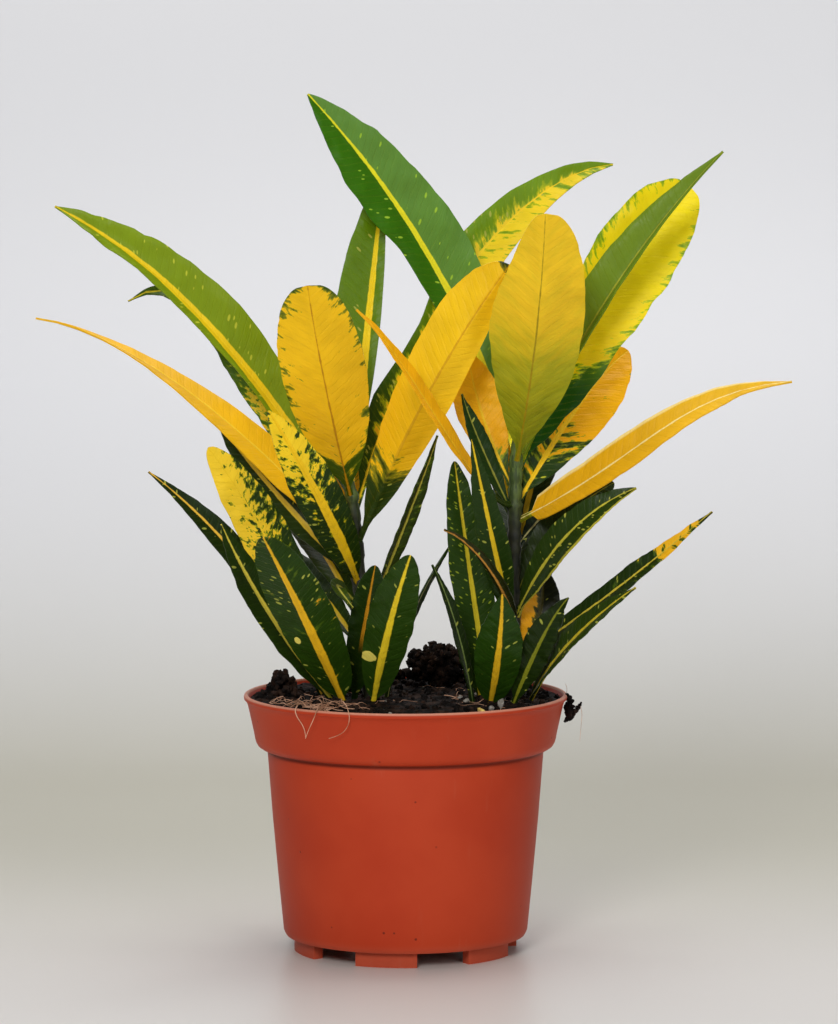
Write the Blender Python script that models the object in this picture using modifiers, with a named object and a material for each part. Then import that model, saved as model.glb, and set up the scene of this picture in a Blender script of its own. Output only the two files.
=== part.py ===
"""Potted croton: two stems of narrow, gold and green leaves in a 12 cm nursery pot.

Metres, +Z up.  The origin is on the floor under the middle of the pot.  The front of the
plant looks along -Y.  Each leaf, stem and clod, the soil and the pot is its own object.
"""
import math
from collections import namedtuple

import bmesh
import bpy
from mathutils import Vector, noise

MM = 0.001
GAP = 0.3           # clearance between pieces that touch, mm

# Pot, mm
RIM_RADIUS = 60.0
POT_HEIGHT = 95.5
WALL = 1.4
BAND_FOOT_RADIUS = 55.6     # lower edge of the wide band under the rim
BAND_FOOT_HEIGHT = 77.0
BODY_TOP_RADIUS = 51.6      # the tapered wall under the band
BODY_TOP_HEIGHT = 74.3
BASE_RADIUS = 45.0
BASE_HEIGHT = 5.6           # underside of the floor of the pot
RIM_ROUND = 0.4             # small bevels on the lip, the band's foot, the base and the feet
BAND_ROUND = 0.9
BASE_ROUND = 0.8
FOOT_DRAFT = 0.3
FOOT_OUTER = 41.5
FOOT_INNER = 37.6
FOOT_COUNT = 6
FOOT_ARC = 32.0             # degrees of the ring that each foot takes
FOOT_TURN = -10.0           # degrees that the front foot is turned from the front
CUT_WIDTH = 10.0            # across the ring of feet, and down through the floor
DRAIN_RADIUS = 3.5
DRAIN_CIRCLE = 29.0

# Soil, mm
SOIL_MIDDLE = 94.6
SOIL_EDGE = 92.4

# Loose clods of the same peat, mm: middle, half sizes, the height that they rest at, and
# the distance that they keep from the pot's axis
Lump = namedtuple("Lump", "middle radii floor clear")
LUMPS = {
    "soil_clod": Lump((13, 27, 100), (12, 9, 10), SOIL_MIDDLE + GAP, 0),
    "rim_clod": Lump((63.4, -3, 91.5), (4.0, 4.2, 5.8), 84, RIM_RADIUS + GAP),
}
LUMP_ROUGHNESS = 0.35       # how far the noise pushes, as a part of the clod's half size
LUMP_GRAIN = 2.2            # how fine the noise is, on a ball of radius 1

# Stems, mm
STEM_RADIUS = 3.2
STEM_TIP_RADIUS = 2.2
STEM_KNOTS = (118, 145)     # heights of the rings between a stem's ends
STEMS = {
    "left": ((-13, 0), (-20, 0, 171)),
    "right": ((39, 0), (41, 0, 188)),
}

# Leaves, mm
PETIOLE_WIDTH = 2.2
TIP_WIDTH = 0.8
RIB_THICKNESS = 1.4
EDGE_THICKNESS = 0.6
PETIOLE_SHARE = 0.07        # part of a leaf's length that is stalk
LEAF_ROWS = 10

# One row for each leaf, from the soil up: its colouring, the height where it leaves the
# stem or the place where it comes out of the soil, the points that its midrib passes
# through, its tip, its width, the way that its upper face looks (compass degrees from +X,
# and degrees above level), how far along it is widest, how slowly it widens from the stalk,
# how sharp its tip is (1 is a point, 0.5 is round), and how far its halves fold up, in
# degrees.
Leaf = namedtuple("Leaf", "kind root through tip width face widest slow sharp fold")

LEAVES = {
    "left": [
        Leaf("dark", (-22, -13, 96), [(-37, -44, 130)], (-50, -70, 160), 22, (80, 15), 0.55, 0.35, 0.50, 12),
        Leaf("dark", (-12, -12, 96), [(-6, -34, 123)], (2, -54, 152), 17, (85, 10), 0.55, 0.35, 0.55, 12),
        Leaf("dark", (-26, -8, 96), [(-50, -27, 129)], (-66, -44, 162), 12, (-80, 20), 0.55, 0.60, 0.80, 15),
        Leaf("dark", (-7, -4, 96), [(2, -8, 124)], (17, -14, 152), 6, (-20, 20), 0.55, 0.60, 1.00, 15),
        Leaf("dark", (-30, 1, 96), [(-57, -8, 141)], (-94, -14, 179), 11, (-80, 30), 0.50, 0.60, 1.00, 20),
        Leaf("dark", (-19, -7, 97), [(-15, -16, 122)], (-11, -20, 145), 12, (-90, 0), 0.60, 0.40, 0.50, 12),
        Leaf("dark", 101, [(-34, 18, 112)], (-60, 46, 126), 11, (-80, 40), 0.55, 0.80, 0.80, 15),
        Leaf("dark", 110, [(-32, 26, 130)], (-52, 62, 146), 13, (-80, 45), 0.58, 0.80, 0.80, 15),
        Leaf("gold", (-24, -3, 96), [(-49, -11, 150)], (-72, -16, 188), 15, (-80, 10), 0.60, 0.50, 0.50, 12),
        Leaf("dark", 120, [(-31, 24, 146)], (-48, 58, 164), 14, (-90, 50), 0.58, 0.80, 0.80, 15),
        Leaf("dark", 124, [(-1, -8, 157)], (12, -12, 192), 8, (-40, 10), 0.50, 0.80, 1.00, 25),
        Leaf("dark", 136, [(-29, -28, 166)], (-49, -42, 203), 17, (-75, 5), 0.55, 0.50, 0.70, 12),
        Leaf("gold", 134, [(-30, 18, 160)], (-46, 52, 186), 12, (-90, 25), 0.58, 0.80, 0.70, 15),
        Leaf("dark", 138, [(-50, 12, 171)], (-70, 22, 195), 13, (-85, 20), 0.55, 0.80, 0.80, 15),
        Leaf("gold", 139, [(-29, -7, 167)], (-38, -5, 186), 9, (-90, 0), 0.55, 0.80, 0.70, 12),
        Leaf("dark", 128, [(-25, -14, 137)], (-19, -24, 130), 6, (-60, 30), 0.50, 0.80, 0.90, 15),
        Leaf("gold", 148, [(-26, 26, 182)], (-40, 62, 206), 17, (-85, 25), 0.58, 0.80, 0.70, 15),
        Leaf("gold", 150, [(-62, 1, 193), (-103, 8, 222)], (-138, 22, 234), 14, (-90, 35), 0.25, 0.60, 1.30, 15),
        Leaf("green", 158, [(-54, 22, 205), (-79, 26, 238)], (-104, 26, 240), 15, (-70, 30), 0.45, 0.80, 1.00, 20),
        Leaf("gold", 152, [(9, -16, 209)], (38, -24, 255), 22, (80, 15), 0.72, 0.60, 0.45, 20),
        Leaf("green", 161, [(-61, 2, 218), (-94, -6, 253)], (-128, -10, 276), 19, (-85, 35), 0.50, 0.60, 0.90, 28),
        Leaf("gold", 165, [(-30, 31, 203)], (-34, 58, 237), 18, (-85, 15), 0.60, 0.80, 0.70, 15),
        Leaf("green", 163, [(9, 36, 230), (44, 52, 274)], (79, 60, 291), 16, (-80, 30), 0.55, 0.40, 0.80, 25),
        Leaf("green", 170, [(-15, 22, 222)], (-8, 32, 289), 18, (-90, 10), 0.50, 0.80, 0.80, 15),
        Leaf("gold", 169, [(-29, -28, 212)], (-35, -40, 248), 31, (88, 20), 0.62, 0.60, 0.36, 16),
    ],
    "right": [
        Leaf("dark", (45, -10, 96), [(59, -38, 118)], (82, -60, 141), 12, (-95, 45), 0.45, 0.50, 1.00, 22),
        Leaf("dark", (31, -16, 96), [(34, -34, 116)], (35, -44, 137), 17, (88, 5), 0.50, 0.35, 0.85, 12),
        Leaf("dark", (25, -16, 96), [(19, -30, 122)], (10, -38, 147), 6, (-45, 10), 0.50, 0.60, 1.00, 20),
        Leaf("dark", (31, -8, 96), [(24, -15, 140)], (18, -17, 183), 15, (-80, 0), 0.45, 0.50, 0.55, 12),
        Leaf("dark", 108, [(75, -22, 135)], (111, -34, 166), 9, (-100, 45), 0.45, 0.60, 1.00, 22),
        Leaf("dark", (28, -2, 96), [(26, -6, 110)], (24, -8, 124), 8, (-90, 0), 0.55, 0.60, 0.90, 15),
        Leaf("dark", (39, -19, 96), [(50, -32, 120)], (59, -38, 135), 11, (-90, 20), 0.55, 0.60, 0.90, 15),
        Leaf("dark", 104, [(46, 26, 120)], (54, 58, 134), 14, (-90, 40), 0.58, 0.80, 0.80, 15),
        Leaf("dark", 106, [(49, 3, 121)], (51, 6, 141), 14, (-90, 0), 0.60, 0.60, 0.60, 12),
        Leaf("dark", 112, [(47, 17, 130)], (52, 42, 142), 12, (-100, 35), 0.58, 0.80, 0.80, 15),
        Leaf("dark", 118, [(40, 27, 150)], (38, 70, 172), 16, (-90, 40), 0.58, 0.80, 0.80, 15),
        Leaf("dark", 124, [(59, -20, 156)], (84, -26, 174), 13, (-100, 35), 0.50, 0.70, 0.80, 20),
        Leaf("dark", 117, [(37, -29, 134), (27, -43, 151)], (14, -50, 161), 5, (60, 40), 0.50, 0.80, 1.00, 15),
        Leaf("dark", 122, [(32, -26, 154)], (24, -34, 192), 11, (-85, 0), 0.45, 0.60, 0.90, 15),
        Leaf("dark", 133, [(57, -1, 158)], (77, -2, 174), 14, (-100, 30), 0.58, 0.60, 0.50, 15),
        Leaf("dark", 142, [(49, 26, 178)], (59, 66, 203), 17, (-90, 25), 0.58, 0.80, 0.70, 15),
        Leaf("dark", 150, [(57, 12, 166)], (76, 18, 178), 12, (-95, 50), 0.55, 0.80, 0.80, 15),
        Leaf("gold", 155, [(34, 26, 190)], (30, 58, 213), 18, (-85, 20), 0.60, 0.80, 0.70, 15),
        Leaf("gold", 160, [(78, -20, 184), (106, -26, 203)], (140, -30, 213), 13, (-100, 45), 0.30, 0.14, 1.00, 15),
        Leaf("dark", 163, [(27, -4, 190)], (21, -8, 207), 8, (-60, 10), 0.50, 0.80, 1.00, 15),
        Leaf("gold", 166, [(66, 22, 203)], (84, 36, 221), 26, (-82, 28), 0.62, 0.80, 0.60, 12),
        Leaf("green", 170, [(55, 36, 212)], (79, 62, 252), 17, (-95, 20), 0.60, 0.80, 0.80, 15),
        Leaf("gold", 172, [(29, 6, 197)], (23, 10, 222), 18, (-90, 10), 0.60, 1.00, 0.70, 12),
        Leaf("gold", 166, [(24, -22, 180), (4, -42, 212)], (-17, -56, 240), 10, (-40, 35), 0.45, 0.70, 1.00, 20),
        Leaf("gold", 176, [(44, 31, 215)], (46, 58, 252), 18, (-90, 15), 0.60, 0.80, 0.80, 15),
        Leaf("gold", 178, [(71, 12, 236)], (106, 20, 283), 29, (-90, 5), 0.68, 0.60, 0.36, 12),
        Leaf("green", 181, [(76, -5, 245)], (116, -8, 296), 13, (-100, 52), 0.45, 0.70, 1.00, 28),
        Leaf("green", 184, [(22, 30, 232), (-4, 24, 277)], (-36, 10, 317), 24, (-85, 20), 0.52, 1.30, 0.75, 18),
        Leaf("green", 182, [(47, -36, 228)], (50, -52, 274), 30, (90, 15), 0.55, 0.70, 0.36, 20),
    ],
}

# Colours and finishes of the pieces: colour, roughness
TERRACOTTA = ((0.42, 0.055, 0.025, 1.0), 0.42)
PEAT = ((0.020, 0.012, 0.008, 1.0), 0.95)
STEM_GREEN = ((0.045, 0.070, 0.020, 1.0), 0.55)
LEAF_DARK = ((0.020, 0.060, 0.012, 1.0), 0.35)
LEAF_GOLD = ((0.75, 0.42, 0.03, 1.0), 0.40)
LEAF_GREEN = ((0.09, 0.26, 0.025, 1.0), 0.35)
LEAF_LOOKS = {"dark": LEAF_DARK, "gold": LEAF_GOLD, "green": LEAF_GREEN}


def clear_scene():
    for thing in list(bpy.data.objects):
        bpy.data.objects.remove(thing)


def new_collection(name):
    collection = bpy.data.collections.new(name)
    bpy.context.scene.collection.children.link(collection)
    return collection


def finish(name, look):
    """A plain material of one colour and roughness."""
    material = bpy.data.materials.get(name)
    if material is None:
        material = bpy.data.materials.new(name)
        material.use_nodes = True
        shader = material.node_tree.nodes["Principled BSDF"]
        shader.inputs["Base Color"].default_value = look[0]
        shader.inputs["Roughness"].default_value = look[1]
    return material


def add_object(name, data, collection, material=None):
    thing = bpy.data.objects.new(name, data)
    collection.objects.link(thing)
    if material is not None:
        data.materials.append(material)
    return thing


def hide_as_guide(thing):
    thing.hide_render = True
    thing.display_type = "WIRE"


def turned(name, profile, collection, material, steps=48):
    """Turn a profile of (radius, height) points in mm around Z."""
    mesh = bpy.data.meshes.new(name)
    points = [(radius * MM, 0.0, height * MM) for radius, height in profile]
    edges = [(i, i + 1) for i in range(len(points) - 1)]
    mesh.from_pydata(points, edges, [])
    thing = add_object(name, mesh, collection, material)
    screw = thing.modifiers.new("Turn", "SCREW")
    screw.steps = steps
    screw.render_steps = steps
    screw.use_merge_vertices = True
    screw.merge_threshold = 0.00001
    screw.use_smooth_shade = True
    return thing


def radius_of_wall(height):
    """Inner radius of the pot at a height, in mm."""
    if height >= BAND_FOOT_HEIGHT:
        share = (height - BAND_FOOT_HEIGHT) / (POT_HEIGHT - BAND_FOOT_HEIGHT)
        return BAND_FOOT_RADIUS + share * (RIM_RADIUS - BAND_FOOT_RADIUS) - WALL
    share = (height - BASE_HEIGHT) / (BODY_TOP_HEIGHT - BASE_HEIGHT)
    return BASE_RADIUS + min(share, 1.0) * (BODY_TOP_RADIUS - BASE_RADIUS) - WALL


def pot_profile():
    floor = BASE_HEIGHT + WALL
    inner = [
        (0, floor),
        (radius_of_wall(floor), floor),
        (radius_of_wall(BODY_TOP_HEIGHT), BODY_TOP_HEIGHT + WALL / 2),
        (radius_of_wall(BAND_FOOT_HEIGHT), BAND_FOOT_HEIGHT + WALL / 2),
        (RIM_RADIUS - WALL, POT_HEIGHT - RIM_ROUND),
        (RIM_RADIUS - WALL + RIM_ROUND, POT_HEIGHT),
    ]
    outer = [
        (RIM_RADIUS - RIM_ROUND, POT_HEIGHT),
        (RIM_RADIUS, POT_HEIGHT - RIM_ROUND),
        (BAND_FOOT_RADIUS, BAND_FOOT_HEIGHT),
        (BAND_FOOT_RADIUS - BAND_ROUND, BAND_FOOT_HEIGHT - BAND_ROUND),
        (BODY_TOP_RADIUS, BODY_TOP_HEIGHT),
        (BASE_RADIUS, BASE_HEIGHT + BASE_ROUND),
        (BASE_RADIUS - BASE_ROUND, BASE_HEIGHT),
        (FOOT_OUTER + FOOT_DRAFT, BASE_HEIGHT),
        (FOOT_OUTER, 0),
        (FOOT_INNER, 0),
        (FOOT_INNER - FOOT_DRAFT, BASE_HEIGHT),
        (0, BASE_HEIGHT),
    ]
    return inner + outer


def foot_gap_cutters(collection):
    """One object holding the gaps between the feet and the drain holes."""
    mesh = bpy.data.meshes.new("pot_cutters")
    shape = bmesh.new()
    middle = (FOOT_OUTER + FOOT_INNER) / 2
    gap_angle = math.radians(360 / FOOT_COUNT - FOOT_ARC)
    gap_width = 2 * middle * math.sin(gap_angle / 2)
    for i in range(FOOT_COUNT):
        angle = math.radians(FOOT_TURN - 90 + (i + 0.5) * 360 / FOOT_COUNT)
        outward = Vector((math.cos(angle), math.sin(angle), 0))
        box = bmesh.ops.create_cube(shape, size=1.0)["verts"]
        bmesh.ops.scale(shape, verts=box, vec=Vector((CUT_WIDTH, gap_width, BASE_HEIGHT)) * MM)
        bmesh.ops.rotate(shape, verts=box, matrix=outward.to_track_quat("X", "Z").to_matrix())
        lift = Vector((0, 0, BASE_HEIGHT / 2 - GAP))
        bmesh.ops.translate(shape, verts=box, vec=(outward * middle + lift) * MM)
        hole = bmesh.ops.create_cone(
            shape, cap_ends=True, segments=16, depth=CUT_WIDTH * MM,
            radius1=DRAIN_RADIUS * MM, radius2=DRAIN_RADIUS * MM)["verts"]
        place = outward * DRAIN_CIRCLE + Vector((0, 0, BASE_HEIGHT))
        bmesh.ops.translate(shape, verts=hole, vec=place * MM)
    shape.to_mesh(mesh)
    shape.free()
    cutter = add_object("pot_cutters", mesh, collection)
    hide_as_guide(cutter)
    return cutter


def build_pot(parts, cutters):
    pot = turned("pot", pot_profile(), parts, finish("terracotta_plastic", TERRACOTTA))
    cut = pot.modifiers.new("Gaps and drains", "BOOLEAN")
    cut.operation = "DIFFERENCE"
    cut.solver = "EXACT"
    cut.object = foot_gap_cutters(cutters)


def build_soil(parts):
    floor = BASE_HEIGHT + WALL + GAP
    shoulder = BODY_TOP_HEIGHT + WALL / 2 + GAP
    band = BAND_FOOT_HEIGHT + WALL / 2 + 2 * GAP
    profile = [
        (0, SOIL_MIDDLE),
        (RIM_RADIUS * 0.5, SOIL_MIDDLE - 0.2),
        (RIM_RADIUS * 0.8, SOIL_MIDDLE - 1.0),
        (radius_of_wall(SOIL_EDGE) - GAP, SOIL_EDGE),
        (radius_of_wall(BAND_FOOT_HEIGHT) - GAP, band),
        (radius_of_wall(BODY_TOP_HEIGHT) - GAP, shoulder),
        (radius_of_wall(floor) - GAP, floor),
        (0, floor),
    ]
    turned("soil", profile, parts, finish("peat", PEAT), steps=40)


def build_lump(name, lump, parts):
    """A clod of peat: a ball pushed in and out by noise, flat where it rests."""
    mesh = bpy.data.meshes.new(name)
    ball = bmesh.new()
    bmesh.ops.create_icosphere(ball, subdivisions=3, radius=1.0)
    for vert in ball.verts:
        bump = 1 + LUMP_ROUGHNESS * noise.noise(vert.co * LUMP_GRAIN + Vector(lump.middle))
        place = Vector(lump.middle) + bump * Vector(a * b for a, b in zip(vert.co, lump.radii))
        place.z = max(place.z, lump.floor)
        spread = max(lump.clear / place.xy.length, 1.0)
        place.xy *= spread
        vert.co = place * MM
    ball.to_mesh(mesh)
    ball.free()
    add_object(name, mesh, parts, finish("peat", PEAT))


def stem_point(side, height):
    """Middle of a stem at a height, in mm."""
    foot, top = STEMS[side]
    share = (height - SOIL_MIDDLE) / (top[2] - SOIL_MIDDLE)
    return Vector((foot[0] + share * (top[0] - foot[0]), foot[1] + share * (top[1] - foot[1]), height))


def stem_radius(side, height):
    share = (height - SOIL_MIDDLE) / (STEMS[side][1][2] - SOIL_MIDDLE)
    return STEM_RADIUS + share * (STEM_TIP_RADIUS - STEM_RADIUS)


def build_stem(side, parts):
    curve = bpy.data.curves.new(side + "_stem", "CURVE")
    curve.dimensions = "3D"
    curve.bevel_depth = MM
    curve.bevel_resolution = 2
    curve.use_fill_caps = True
    heights = [SOIL_MIDDLE + GAP, *STEM_KNOTS, STEMS[side][1][2]]
    spline = curve.splines.new("POLY")
    spline.points.add(len(heights) - 1)
    for point, height in zip(spline.points, heights):
        point.co = (*stem_point(side, height) * MM, 1.0)
        point.radius = stem_radius(side, height)
    add_object(side + "_stem", curve, parts, finish("stem_green", STEM_GREEN))


def leaf_outline(share, leaf):
    """Width of a leaf, as a part of its full width, at a share of its length."""
    blade = (share - PETIOLE_SHARE) / (1 - PETIOLE_SHARE)
    if blade <= 0:
        return 0.0
    if blade < leaf.widest:
        return math.sin(math.pi / 2 * blade / leaf.widest) ** leaf.slow
    return max(math.cos(math.pi / 2 * (blade - leaf.widest) / (1 - leaf.widest)), 0.0) ** leaf.sharp


def route_handles(points):
    """Inner control points of one Bezier arc through three or four evenly shared points."""
    if len(points) == 3:
        start, middle, end = points
        control = 2 * middle - (start + end) / 2
        return start + (control - start) * 2 / 3, end + (control - end) * 2 / 3
    start, first, second, end = points
    return ((-5 * start + 18 * first - 9 * second + 2 * end) / 6,
            (2 * start - 9 * first + 18 * second - 5 * end) / 6)


def leaf_guide(name, side, leaf, turn, guides):
    """The midrib's arc, in a frame whose Z is the way that the upper face looks."""
    if isinstance(leaf.root, tuple):
        start = Vector(leaf.root)
    else:
        middle = stem_point(side, leaf.root)
        outward = Vector(leaf.through[0]) - middle
        outward.z = 0
        start_gap = stem_radius(side, leaf.root) + GAP + PETIOLE_WIDTH / 2
        start = middle + outward.normalized() * start_gap
    world = [start] + [Vector(point) for point in leaf.through] + [Vector(leaf.tip)]
    points = [turn.inverted() @ point * MM for point in world]
    curve = bpy.data.curves.new(name + "_guide", "CURVE")
    curve.dimensions = "3D"
    curve.twist_mode = "Z_UP"
    curve.use_stretch = True
    curve.use_deform_bounds = True
    spline = curve.splines.new("BEZIER")
    spline.bezier_points.add(1)
    first_handle, last_handle = route_handles(points)
    ends = zip(spline.bezier_points, (points[0], points[-1]), (first_handle, last_handle))
    for knot, place, inner in ends:
        knot.handle_left_type = "FREE"
        knot.handle_right_type = "FREE"
        knot.co = place
        knot.handle_left = 2 * place - inner
        knot.handle_right = 2 * place - inner
    spline.bezier_points[0].handle_right = first_handle
    spline.bezier_points[1].handle_left = last_handle
    guide = add_object(name + "_guide", curve, guides)
    guide.rotation_mode = "QUATERNION"
    guide.rotation_quaternion = turn
    hide_as_guide(guide)
    return guide


def build_leaf(name, side, leaf, parts, guides):
    azimuth, lift = (math.radians(angle) for angle in leaf.face)
    face = Vector((math.cos(azimuth) * math.cos(lift), math.sin(azimuth) * math.cos(lift), math.sin(lift)))
    turn = face.to_track_quat("Z", "Y")
    guide = leaf_guide(name, side, leaf, turn, guides)

    mesh = bpy.data.meshes.new(name)
    blank = bmesh.new()
    bmesh.ops.create_grid(blank, x_segments=LEAF_ROWS, y_segments=2, size=0.5)
    raise_edge = math.tan(math.radians(leaf.fold))
    for vert in blank.verts:
        share = vert.co.x + 0.5
        least = PETIOLE_WIDTH if share < 0.5 else TIP_WIDTH
        width = max(leaf.width * leaf_outline(share, leaf), least)
        offset = vert.co.y * width
        vert.co = Vector((share * 100, offset, abs(offset) * raise_edge)) * MM
    blank.to_mesh(mesh)
    blank.free()
    thing = add_object(name, mesh, parts, finish("leaf_" + leaf.kind, LEAF_LOOKS[leaf.kind]))
    thing.rotation_mode = "QUATERNION"
    thing.rotation_quaternion = turn

    rib = thing.vertex_groups.new(name="rib")
    on_rib = [vert.index for vert in mesh.vertices if abs(vert.co.y) < 0.00001]
    rib.add(on_rib, 1.0, "REPLACE")
    shell = thing.modifiers.new("Thickness", "SOLIDIFY")
    shell.thickness = RIB_THICKNESS * MM
    shell.offset = -1.0
    shell.vertex_group = "rib"
    shell.thickness_vertex_group = EDGE_THICKNESS / RIB_THICKNESS
    bend = thing.modifiers.new("Follow the midrib", "CURVE")
    bend.object = guide
    bend.deform_axis = "POS_X"
    for face_of_mesh in mesh.polygons:
        face_of_mesh.use_smooth = True


def main():
    clear_scene()
    parts = new_collection("potted_croton")
    guides = new_collection("guides_and_cutters")
    build_pot(parts, guides)
    build_soil(parts)
    for name, lump in LUMPS.items():
        build_lump(name, lump, parts)
    for side, rows in LEAVES.items():
        build_stem(side, parts)
        for number, leaf in enumerate(rows, start=1):
            build_leaf(f"{side}_leaf_{number:02d}", side, leaf, parts, guides)


main()
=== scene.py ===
# %% [markdown]
# # Potted croton: shapes and finishes
# A croton is a small shrub whose leaves are painted in green and gold, with no two alike.
# This lesson takes the plain solids of a plant in its nursery pot and gives each one its
# real surface: thin waxy leaves with a folded blade and a coloured midrib, crumbly peat,
# and a moulded plastic pot. Lengths in the tables are millimetres, apart from those of the
# camera and the studio, which are metres.

# %% Load the fixed frame
import math
import random
from collections import namedtuple

import bmesh
import bpy
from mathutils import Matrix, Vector


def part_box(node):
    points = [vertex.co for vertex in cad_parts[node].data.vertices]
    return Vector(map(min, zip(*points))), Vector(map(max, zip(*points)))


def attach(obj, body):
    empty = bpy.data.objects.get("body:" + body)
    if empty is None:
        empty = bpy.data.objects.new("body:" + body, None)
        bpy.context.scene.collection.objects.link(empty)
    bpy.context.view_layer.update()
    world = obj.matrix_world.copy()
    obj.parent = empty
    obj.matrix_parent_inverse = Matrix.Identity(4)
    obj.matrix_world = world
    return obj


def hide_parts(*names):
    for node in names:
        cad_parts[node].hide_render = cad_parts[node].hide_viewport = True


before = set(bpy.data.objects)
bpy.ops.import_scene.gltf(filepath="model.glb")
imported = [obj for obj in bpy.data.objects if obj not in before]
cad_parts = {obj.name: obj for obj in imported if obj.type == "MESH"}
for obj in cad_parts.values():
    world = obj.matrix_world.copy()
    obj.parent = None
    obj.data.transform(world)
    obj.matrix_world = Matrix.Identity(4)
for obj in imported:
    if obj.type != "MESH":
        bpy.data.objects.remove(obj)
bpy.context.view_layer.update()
MM = 0.001
print("solids in the frame:", len(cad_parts))

# %% [markdown]
# ## Small helpers for modelling
# Every new piece starts as a primitive and is shaped in edit mode, the way it would be by
# hand. An operator works on whatever is selected, and the frame's solids are selected after
# loading, so each step first clears the selection. Points are then picked by their place.

# %% Helpers for selecting and finishing
def deselect_all():
    if bpy.context.object and bpy.context.object.mode == "EDIT":
        bpy.ops.object.mode_set(mode="OBJECT")
    bpy.ops.object.select_all(action="DESELECT")


def work_on(thing):
    """Make this the only selected object, and the active one."""
    deselect_all()
    thing.select_set(True)
    bpy.context.view_layer.objects.active = thing


def edit(thing):
    work_on(thing)
    bpy.ops.object.mode_set(mode="EDIT")
    bpy.ops.mesh.select_all(action="DESELECT")


def pick(thing, test, what="verts"):
    """Select the points or faces of the mesh in edit mode that pass a test."""
    shape = bmesh.from_edit_mesh(thing.data)
    bpy.ops.mesh.select_mode(type="VERT" if what == "verts" else "FACE")
    bpy.ops.mesh.select_all(action="DESELECT")
    for part in getattr(shape, what):
        part.select = bool(test(part))
    shape.select_flush_mode()
    bmesh.update_edit_mesh(thing.data, loop_triangles=False, destructive=False)


def apply_modifiers(thing):
    work_on(thing)
    for modifier in list(thing.modifiers):
        bpy.ops.object.modifier_apply(modifier=modifier.name)


def settle(thing, angle=None):
    """Put a piece's place into its mesh, and shade it smooth, or only below an angle."""
    work_on(thing)
    bpy.ops.object.transform_apply(location=True, rotation=True, scale=True)
    if angle is None:
        bpy.ops.object.shade_smooth()
    else:
        bpy.ops.object.shade_smooth_by_angle(angle=math.radians(angle))


def copy_of(thing, name):
    """A copy with a mesh of its own."""
    twin = thing.copy()
    twin.data = thing.data.copy()
    twin.name = name
    twin.data.name = name
    bpy.context.collection.objects.link(twin)
    return twin


def place_piece(thing, finishes, slot, *nodes):
    """Give a piece its finishes, and its place in the frame."""
    for finish in finishes:
        thing.data.materials.append(finish)
    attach(thing, "root")
    if nodes:
        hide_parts(*nodes)


deselect_all()

# %% [markdown]
# ## Shader maths as sums
# A pattern is a sum of masks. Joining nodes by hand hides that sum, so one small class
# wraps a socket and lets it be added and multiplied like a number. Any other node comes
# from one method, which takes the node's type, its settings and what goes into it.

# %% A socket that can be used in sums
class Wire:
    """An output socket. Sums and products with it add Math nodes."""

    def __init__(self, finish, socket):
        self.finish = finish
        self.socket = socket

    def math(self, operation, first, second=0.0):
        return self.finish.node("ShaderNodeMath", {"operation": operation}, {0: first, 1: second})

    def __add__(self, other):
        return self.math("ADD", self, other)

    def __radd__(self, other):
        return self.math("ADD", other, self)

    def __sub__(self, other):
        return self.math("SUBTRACT", self, other)

    def __rsub__(self, other):
        return self.math("SUBTRACT", other, self)

    def __mul__(self, other):
        return self.math("MULTIPLY", self, other)

    def __rmul__(self, other):
        return self.math("MULTIPLY", other, self)

    def __truediv__(self, other):
        return self.math("DIVIDE", self, other)

    def __pow__(self, other):
        return self.math("POWER", self, other)

    def __abs__(self):
        return self.math("ABSOLUTE", self)

    def sine(self):
        return self.math("SINE", self)

    def at_least(self, other):
        return self.math("MAXIMUM", self, other)

    def step(self, low, high):
        """0 below low, 1 above high, and a smooth ramp between them."""
        settings = {"interpolation_type": "SMOOTHSTEP"}
        values = {"Value": self, "From Min": low, "From Max": high}
        return self.finish.node("ShaderNodeMapRange", settings, values)

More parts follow.
